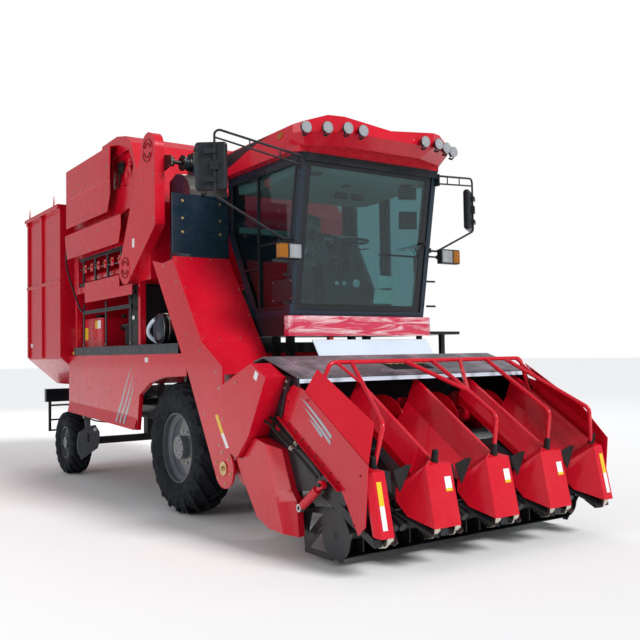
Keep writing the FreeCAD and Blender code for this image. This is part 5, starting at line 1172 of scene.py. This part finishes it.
def cab_inside():
    """Headliner with vents, rear trim, screens, handrail, dashboard, levers and gauges."""
    prism_piece("headliner", "liner", "machine", facing(-0.705, (
        (-1.500, 3.165), (-1.440, 3.110), (-1.00, 3.070), (-0.60, 3.050), (-0.360, 3.080), (-0.345, 3.185),
        (-1.505, 3.185))), (1.41, 0, 0), 0.02)
    # painted shade: the vents are near-black discs and slots that stand for the shade inside the openings
    rows_piece("cab_vents", "hollow_shade", "machine",
               [(x, -1.425, 3.109, x, -1.425, 3.100, 0.062, 32) for x in (-0.52, 0.52)]
               + [(x - 0.07, -1.02, 3.010, x + 0.07, -0.985, 3.068) for x in (0.06, 0.26)]
               + [(-0.02, -1.20, 3.092, -0.02, -1.20, 3.078, 0.05, 28)], 0.003)
    rows_piece("cab_back_trim", "liner", "machine", [(-0.70, -0.400, 2.700, 0.70, -0.340, 2.760),
                                                     (-0.62, -0.640, 1.852, 0.62, -0.600, 2.260)], bevel=0.01)
    screens = bmesh.new()
    turn = Matrix.Rotation(math.radians(-24), 4, "Z")
    for z in (3.075, 2.788):
        add_block(screens, at(0.515, -1.372, z - 0.085), at(0.685, -1.322, z + 0.085), turn)
        add_bar(screens, at(0.64, -1.33, z), at(0.712, -1.30, z + 0.01), 0.012, 14)
    add_block(screens, at(0.30, -1.30, 2.30), at(0.335, -1.27, 2.42))
    piece("cab_screens", "plastic", "machine", screens, bevel=0.006)
    pipe("cab_handrail", "black", "machine", 0.015, (-0.085, -1.19, 1.86), (-0.085, -1.19, 2.30),
         (-0.090, -1.19, 2.52), (-0.110, -1.16, 2.60), (-0.20, -1.08, 2.625), (-0.34, -0.98, 2.62),
         (-0.40, -0.93, 2.56), (-0.40, -0.90, 2.30), (-0.40, -0.90, 1.86))
    dash = bmesh.new()
    add_prism(dash, facing(-0.34, ((-1.275, 1.855), (-1.255, 2.26), (-1.15, 2.335), (-1.05, 2.30),
                                   (-1.08, 1.855))), (0.52, 0, 0))
    add_block(dash, at(-0.66, -1.20, 1.855), at(-0.40, -0.55, 2.28))
    for i in range(3):
        x, back = -0.60 + i * 0.07, i * 0.05
        add_bar(dash, at(x, -1.00 + back, 2.28), at(x, -1.04 + back, 2.46), 0.008, 12)
        bmesh.ops.create_uvsphere(dash, u_segments=16, v_segments=10, radius=0.024,
                                  matrix=Matrix.Translation(at(x, -1.045 + back, 2.475)))
    piece("cab_dash", "plastic", "machine", dash, bevel=0.008)
    rows_piece("cab_gauges", "chrome", "machine",
               [(x, -1.262, z, x, -1.280, z, radius, 32) for x, z, radius in
                ((0.02, 2.165, 0.040), (-0.12, 2.16, 0.024), (-0.20, 2.16, 0.024))], 0.004)


def steering():
    """Raked column with its cowl, and a padded wheel on three spokes."""
    low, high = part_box("steering_column")
    x = (low.x + high.x) / 2
    form = bmesh.new()
    hub = at(x, -1.160, 2.570)
    steps, turns, rim, tube = 48, 12, 0.176, 0.0135
    rows = []
    for i in range(steps):
        angle = 2 * math.pi * i / steps
        row = []
        for j in range(turns):
            lean = 2 * math.pi * j / turns
            reach = rim + tube * math.cos(lean)
            spot = Vector((math.cos(angle) * reach, math.sin(angle) * reach, tube * math.sin(lean)))
            row.append(form.verts.new(hub + spot))
        rows.append(row)
    for i in range(steps):
        here, after = rows[i], rows[(i + 1) % steps]
        for j in range(turns):
            k = (j + 1) % turns
            form.faces.new((here[j], after[j], after[k], here[k]))
    for angle in (0.2, math.pi - 0.2, -math.pi / 2):
        add_bar(form, hub + Vector((0, 0, -0.012)),
                hub + Vector((math.cos(angle) * rim, math.sin(angle) * rim, 0)), 0.012, 14)
    add_bar(form, hub + Vector((0, 0, -0.03)), hub + Vector((0, 0, 0.012)), 0.045, 28, 0.036)
    add_bar(form, at(x, -1.185, 1.852), at(x, -1.163, 2.545), 0.030, 24)
    add_prism(form, facing(x - 0.055, ((-1.235, 2.30), (-1.222, 2.50), (-1.150, 2.535), (-1.118, 2.44),
                                       (-1.125, 2.30))), (0.11, 0, 0))
    add_bar(form, at(x + 0.05, -1.18, 2.49), at(x + 0.20, -1.20, 2.51), 0.007, 12)
    made = piece("steering_wheel", "plastic", "machine", form, bevel=0.003)
    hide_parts("steering_column")


CHANNEL = 0.022     # half width of a sewn channel
SWELL = 0.012       # cap on how far the cloth pressure moves a point, and the voxel's size


def cushion(name, low, high, puff, channels):
    """Crowned pad with pulled-in sides, swollen by cloth pressure and then channelled."""
    low, high = Vector(low), Vector(high)
    size, middle = high - low, (low + high) / 2
    form = bmesh.new()
    bmesh.ops.create_cube(form, size=1, matrix=Matrix.Translation(middle) @ Matrix.Diagonal((*size, 1)))
    bmesh.ops.subdivide_edges(form, edges=form.edges, cuts=9, use_grid_fill=True)
    for vertex in form.verts:
        share = [(vertex.co[i] - middle[i]) / (size[i] / 2) for i in range(3)]
        for i in range(3):
            one, other = [share[j] for j in range(3) if j != i]
            hollow = puff * (1 - one ** 2) * (1 - other ** 2)
            vertex.co[i] += hollow * share[i] * (1 if i == 2 or size[i] < 0.2 else 0.3)
            vertex.co[i] -= share[i] * size[i] * 0.035 * (one ** 4 + other ** 4)
    data = bpy.data.meshes.new(name)
    form.to_mesh(data)
    form.free()
    made = linked(name, data, "seat")
    bpy.context.view_layer.objects.active = made
    swell(made)
    for vertex in data.vertices:
        for axis, line, depth in channels:
            gap = abs(vertex.co[axis] - line)
            if gap < CHANNEL:
                vertex.co += (middle - vertex.co).normalized() * depth * math.cos(gap / CHANNEL * math.pi / 2)
    smooth = made.modifiers.new("smooth", "SUBSURF")
    smooth.levels = 1
    smooth.render_levels = 1
    data.shade_smooth()
    return made


def swell(made):
    """Remeshes the pad, blows it up with cloth pressure, and caps how far it moves."""
    remesh = made.modifiers.new("even", "REMESH")
    remesh.mode = "VOXEL"
    remesh.voxel_size = SWELL
    bpy.ops.object.modifier_apply(modifier="even")
    rest = [vertex.co.copy() for vertex in made.data.vertices]
    cloth = made.modifiers.new("pressure", "CLOTH")
    cloth.settings.use_pressure = True
    cloth.settings.uniform_pressure_force = 4
    cloth.settings.effector_weights.gravity = 0
    for step in range(1, 16):
        bpy.context.scene.frame_set(step)
    bpy.ops.object.modifier_apply(modifier="pressure")
    bpy.context.scene.frame_set(1)
    for vertex, before in zip(made.data.vertices, rest):
        move = vertex.co - before
        if move.length > SWELL:
            vertex.co = before + move.normalized() * SWELL


def tilt(made, angle, about):
    """Turns a pad about the machine's X axis; its vertices are moved."""
    spin = Matrix.Rotation(math.radians(angle), 4, "X")
    made.data.transform(Matrix.Translation(about) @ spin @ Matrix.Translation(-about))


def seat():
    """Cushions, headrest and armrests on a suspension pedestal."""
    low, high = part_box("seat")
    x = (low.x + high.x) / 2
    depth = 0.008
    sides = [(0, x - 0.12, depth), (0, x + 0.12, depth)]
    base = cushion("seat_cushion", at(x - 0.215, -1.105, 2.215), at(x + 0.215, -0.68, 2.300), 0.030,
                   sides + [(1, -0.98 + AXLE, depth), (1, -0.84 + AXLE, depth)])
    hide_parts("seat")
    back = cushion("seat_back", at(x - 0.205, -0.700, 2.290), at(x + 0.205, -0.615, 2.760), 0.028,
                   sides + [(2, 2.42, depth), (2, 2.56, depth)])
    tilt(back, -9.5, at(x, -0.66, 2.28))
    rest = cushion("seat_headrest", at(x - 0.125, -0.665, 2.740), at(x + 0.125, -0.600, 2.885), 0.020, [])
    tilt(rest, -6, at(x, -0.63, 2.75))
    for pad in (base, back, rest):
        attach(pad, "machine")
    rows = [(x - 0.19, -1.06, 2.150, x + 0.19, -0.70, 2.205),
            (x - 0.16, -1.04, 1.852, x + 0.16, -0.76, 1.885)]
    for i in range(7):
        grow = 0.012 * (i % 2)
        rows.append((x - 0.125 - grow, -1.00 - grow, 1.885 + i * 0.038,
                     x + 0.125 + grow, -0.80 + grow, 1.923 + i * 0.038))
    for side in (RIGHT, LEFT):
        arm, post = x + side * 0.245, x + side * 0.06
        rows += [(arm, -0.70, 2.21, arm, -0.68, 2.43, 0.014, 14),
                 (arm - 0.028, -0.99, 2.425, arm + 0.028, -0.66, 2.462),
                 (post, -0.615, 2.70, post, -0.605, 2.80, 0.007, 12)]
    rows_piece("seat_frame", "plastic", "machine", rows, 0.006)


def roof_trim():
    """Black sweep along the roof's sides, amber markers and the seal over the windscreen."""
    for name, side in SIDES:
        corners = [mirrored(at(-0.8603, y, z), side) for y, z in (
            (-0.203, 3.300), (-0.203, 3.418), (-0.60, 3.446), (-1.00, 3.448), (-1.190, 3.448),
            (-0.98, 3.425), (-0.76, 3.385), (-0.56, 3.335), (-0.40, 3.306))]
        prism_piece(f"roof_sweep_{name}", "black", "machine", corners, (side * 0.002, 0, 0))
        mark = bmesh.new()
        matrix = (Matrix.Translation(mirrored(at(-0.8690, -1.400, 3.402), side))
                  @ Matrix.Rotation(math.radians(-10), 4, "X") @ Matrix.Diagonal((0.010, 0.050, 0.028, 1)))
        bmesh.ops.create_uvsphere(mark, u_segments=28, v_segments=16, radius=1, matrix=matrix)
        piece(f"roof_marker_{name}", "amber", "machine", mark)
    rows_piece("roof_seal", "black", "machine", [(-0.765, -1.606, 3.168, 0.765, -1.588, 3.239)], bevel=0.002)


def work_lamps():
    """Round work lamps: finned bowl, reflector, ribbed lens and the stirrup below."""
    bowl, dish, lens, stirrup = bmesh.new(), bmesh.new(), bmesh.new(), bmesh.new()
    for side in (RIGHT, LEFT):
        for x, back, stand in ((0.350, 0.0, 0.014), (0.510, 0.001, 0.015), (0.670, 0.081, 0.026),
                               (0.830, 0.163, 0.028)):
            spot = at(side * x, -1.850 + back - 0.0003 - stand - 0.050, 3.400)
            turned(bowl, spot, ((0.004, 0.0495), (0.016, 0.0500), (0.018, 0.046), (0.026, 0.046),
                                (0.028, 0.043), (0.034, 0.043), (0.038, 0.034), (0.049, 0.022)))
            turned(dish, spot, ((0.0005, 0.0498), (0.0042, 0.0498), (0.0048, 0.030), (0.0055, 0.010)))
            turned(lens, spot, ((-0.0020, 0.010), (-0.0012, 0.030), (0.0002, 0.0455), (0.0022, 0.0455)))
            for start, end, radius, sides in (
                    ((-0.030, 0.022, -0.036), (-0.012, 0.040, -0.064), 0.005, 10),
                    ((0.030, 0.022, -0.036), (0.012, 0.040, -0.064), 0.005, 10),
                    ((0, 0.038, -0.070), (0, 0.038, -0.054), 0.011, 12),
                    ((0, 0.038, -0.066), (0, 0.070, -0.050), 0.007, 10)):
                add_bar(stirrup, spot + Vector(start), spot + Vector(end), radius, sides)
    made = piece("lamp_bowls", "plastic", "machine", bowl)
    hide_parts("lamps")
    piece("lamp_dishes", "chrome", "machine", dish)
    piece("lamp_lenses", "lens", "machine", lens)
    piece("lamp_stirrups", "plastic", "machine", stirrup)


def corner_lamps():
    """Indicator and side lamps on their arms at the windscreen posts."""
    shell, amber, clear, dish = bmesh.new(), bmesh.new(), bmesh.new(), bmesh.new()
    for side, near, far, low in ((RIGHT, 0.735, 0.960, 2.322), (LEFT, 0.866, 1.105, 2.370)):
        high = low + 0.140
        split = far - 0.088
        arm = low + 0.067
        rows = [(near, -1.518, low, far, -1.462, high)]
        rows += [(near, -1.5295, z, far, -1.517, z + 0.010) for z in (low, high - 0.010)]
        rows += [(x, -1.5295, low + 0.008, x + 0.012, -1.517, high - 0.008) for x in (near, split - 0.006)]
        boxes = ((shell, rows),
                 (amber, [(split + 0.007, -1.5275, low + 0.011, far + 0.004, -1.470, high - 0.011)]),
                 (clear, [(near + 0.013, -1.5275, low + 0.011, split - 0.007, -1.516, high - 0.011)]))
        for form, rows in boxes:
            add_rows(form, [(side * x0, y0, z0, side * x1, y1, z1) for x0, y0, z0, x1, y1, z1 in rows])
        add_rows(shell, [(side * 0.772, -1.446, arm, side * 0.90, -1.448, arm, 0.009, 14),
                         (side * 0.885, -1.470, arm, side * 0.885, -1.440, arm, 0.022, 18)])
        for height in (0.045, 0.097):
            turned(dish, at(side * (near + 0.066), -1.5182, low + height),
                   ((-0.001, 0.022), (0.0, 0.026), (0.0012, 0.012)), 24)
    piece("corner_shells", "plastic", "machine", shell, bevel=0.004)
    piece("corner_amber", "amber", "machine", amber, bevel=0.003)
    piece("corner_clear", "lens", "machine", clear, bevel=0.002)
    piece("corner_dishes", "chrome", "machine", dish)


def mirror_faces():
    """Mirror glass in the rear of the heads, and the pipe clamps in front."""
    faces, clamp = bmesh.new(), bmesh.new()
    for side, middle in ((RIGHT, 3.085), (LEFT, 2.967)):
        turn = Matrix.Rotation(math.radians(37 * side), 4, "Z")
        hub = Matrix.Translation(at(1.475 * side, -1.290, middle)) @ turn
        corners = [hub @ Vector((x, 0.0352, z)) for x, z in card(-0.108, -0.178, 0.108, 0.178)]
        add_prism(faces, corners, hub.to_3x3() @ Vector((0, 0.0012, 0)))
        spot = at(1.475 * side, -1.350, middle)
        add_block(clamp, spot - Vector((0.034, 0.020, 0.038)), spot + Vector((0.034, 0.028, 0.038)), turn)
        add_bolt(clamp, spot - Vector((0, 0.022, 0)), (0, -1, 0), 0.008)
    piece("mirror_glass", "mirror", "machine", faces)
    piece("mirror_clamps", "plastic", "machine", clamp, bevel=0.008)


windscreen()
side_glass_trim()
door()
cab_inside()
steering()
seat()
roof_trim()
work_lamps()
corner_lamps()
mirror_faces()


# ---------------------------------------------------------------- ear bin and rear

def bin_ribs():
    """Folded stiffeners, rims and a blank label on the ear bin's walls."""
    wall, rear = 1.3852, 4.6402
    rows = []
    for side in (RIGHT, LEFT):
        for y in (3.105, 3.930, 4.605):
            rows += [(side * wall, y - 0.022, 1.520, side * 1.412, y + 0.022, 3.438),
                     (side * wall, y - 0.034, 3.395, side * 1.425, y + 0.034, 3.438)]
        rows.append((side * wall, 3.085, 2.480, side * 1.418, 4.640, 2.522))
    rows += [(x - 0.022, rear, 1.560, x + 0.022, 4.664, 3.470) for x in (-1.30, -0.65, 0.0, 0.65, 1.30)]
    rows.append((-1.380, rear, 2.480, 1.380, 4.670, 2.522))
    rows_piece("bin_ribs", "red", "bin", rows, bevel=0.003)
    rows_piece("bin_rims", "red", "bin",
               [(x, 3.085, 3.4385, x, 4.635, 3.4385, 0.006, 10) for x in (-1.4445, 1.4445)])
    sticker("bin_mark", "white", "bin", facing(-1.3856, card(4.44, 1.72, 4.54, 1.67)))


def rear_trim():
    """Bolts and lamps of the rear bumper, treads' studs, guards' slots and brake lines."""
    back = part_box("rear_bumper")[1].y
    bolts("bumper_bolts", "machine", between((-1.04, back, 0.98), (1.04, back, 0.98), 8), 0.010, (0, 1, 0))
    for name, finish, x0, y0, z0, x1, y1, z1 in (
            ("tail_shells", "plastic", 0.86, 4.8400, 0.895, 1.06, 4.862, 0.965),
            ("tail_lenses", "tail", 0.866, 4.862, 0.900, 1.054, 4.870, 0.960)):
        rows = [(side * x0, y0, z0, side * x1, y1, z1) for side in (RIGHT, LEFT)]
        rows_piece(name, finish, "machine", rows, bevel=0.003)
    studs = [(-1.015 + i * 0.021, 4.797, z + 0.024, 0.006) for z in (0.452, 0.604, 0.814) for i in range(12)]
    studs += [(1.205 + j * 0.028, -1.030 + i * 0.032, z, 0.007) for z in (0.50, 0.80, 1.10, 1.40)
              for i in range(9) for j in range(3)]
    rows_piece("tread_studs", "zinc", "machine",
               [(x, y, z, x, y, z + 0.005, radius, 8) for x, y, z, radius in studs])
    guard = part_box("wheel_guards")[0].y
    # painted shade: the slots are near-black blocks that stand for the shade in the holes
    slots = bmesh.new()
    for side in (RIGHT, LEFT):
        add_block(slots, (side * 1.112, guard - 0.0008, 0.455), (side * 1.140, guard + 0.001, 0.560))
    piece("guard_slots", "hollow_shade", "machine", slots)
    sticker("guard_label", "white", "machine",
            [(x, guard - 0.0002, z) for x, z in card(-1.060, 0.625, -1.020, 0.585)], (0, -1, 0))
    for i, (z, swing) in enumerate(((0.70, 0.0), (0.74, 0.03))):
        pipe(f"brake_line_{i}", "tan_hose", "machine", 0.010,
             *[(x, y + swing, z + rise) for x, y, rise in (
                 (-0.50, 2.80, 0.06), (-0.66, 2.86, 0.02), (-0.82, 2.88, -0.02), (-0.98, 2.88, 0),
                 (-1.10, 2.84, 0.03), (-1.22, 2.80, 0.12))])


bin_ribs()
rear_trim()


# ---------------------------------------------------------------- camera, floor and light

SENSOR = 36
FOCAL = 819.35      # focal length for a frame 640 wide


def camera():
    """The photograph's place and angle: ahead of the machine's right front corner."""
    yaw, pitch, roll = 0.59993, 0.04126, -0.01611
    forward = Vector((math.sin(yaw) * math.cos(pitch), math.cos(yaw) * math.cos(pitch), math.sin(pitch)))
    level = Vector((math.cos(yaw), -math.sin(yaw), 0))
    up = level.cross(forward)
    right = level * math.cos(roll) + up * math.sin(roll)
    above = up * math.cos(roll) - level * math.sin(roll)
    data = bpy.data.cameras.new("camera")
    data.sensor_width = SENSOR
    data.lens = SENSOR * FOCAL / 640
    made = bpy.data.objects.new("camera", data)
    made.matrix_world = Matrix((right, above, -forward)).transposed().to_4x4()
    made.location = (-4.5574, -8.2348, 1.5159)
    bpy.context.scene.collection.objects.link(made)
    bpy.context.scene.camera = made


def stage():
    """Pale floor and backdrop in one tone."""
    bpy.ops.mesh.primitive_plane_add(size=240)
    floor = bpy.context.object
    floor.name = "floor"
    made, tree, main = shader("studio_floor")
    fill(main, Base_Color=(0.95, 0.95, 0.95, 1), Roughness=0.9)
    floor.data.materials.append(made)
    world = bpy.data.worlds.new("studio")
    bpy.context.scene.world = world
    world.use_nodes = True
    tree = world.node_tree
    sky = fill(tree.nodes["Background"], Color=(0.93, 0.97, 1.0, 1), Strength=0.42)
    wall = node(tree, "Background", Color=(1.0, 1.0, 1.0, 1), Strength=1.0)
    choose = node(tree, "MixShader", Fac=node(tree, "LightPath").outputs["Is Camera Ray"])
    tree.links.new(sky.outputs[0], choose.inputs[1])
    tree.links.new(wall.outputs[0], choose.inputs[2])
    tree.links.new(choose.outputs[0], tree.nodes["World Output"].inputs["Surface"])


def lamp(name, kind, where, aim, power, size):
    """Light at a place, turned to its aim; size is a sun's angle or an area's side."""
    data = bpy.data.lights.new(name, kind)
    data.energy = power
    if kind == "SUN":
        data.angle = size
    else:
        data.size = size
    made = bpy.data.objects.new(name, data)
    made.location = where
    made.rotation_euler = (Vector(aim) - Vector(where)).to_track_quat("-Z", "Y").to_euler()
    bpy.context.scene.collection.objects.link(made)


camera()
stage()
bpy.context.scene.view_settings.view_transform = "Standard"
lamp("key", "SUN", (2.5, -11.5, 9.0), (0, -1.5, 1.2), 2.8, 0.35)
lamp("side", "AREA", (-11, -3, 5), (0, 0, 1.5), 240, 5)
lamp("rear", "AREA", (5, 12, 8), (0, 1, 1.5), 500, 6)
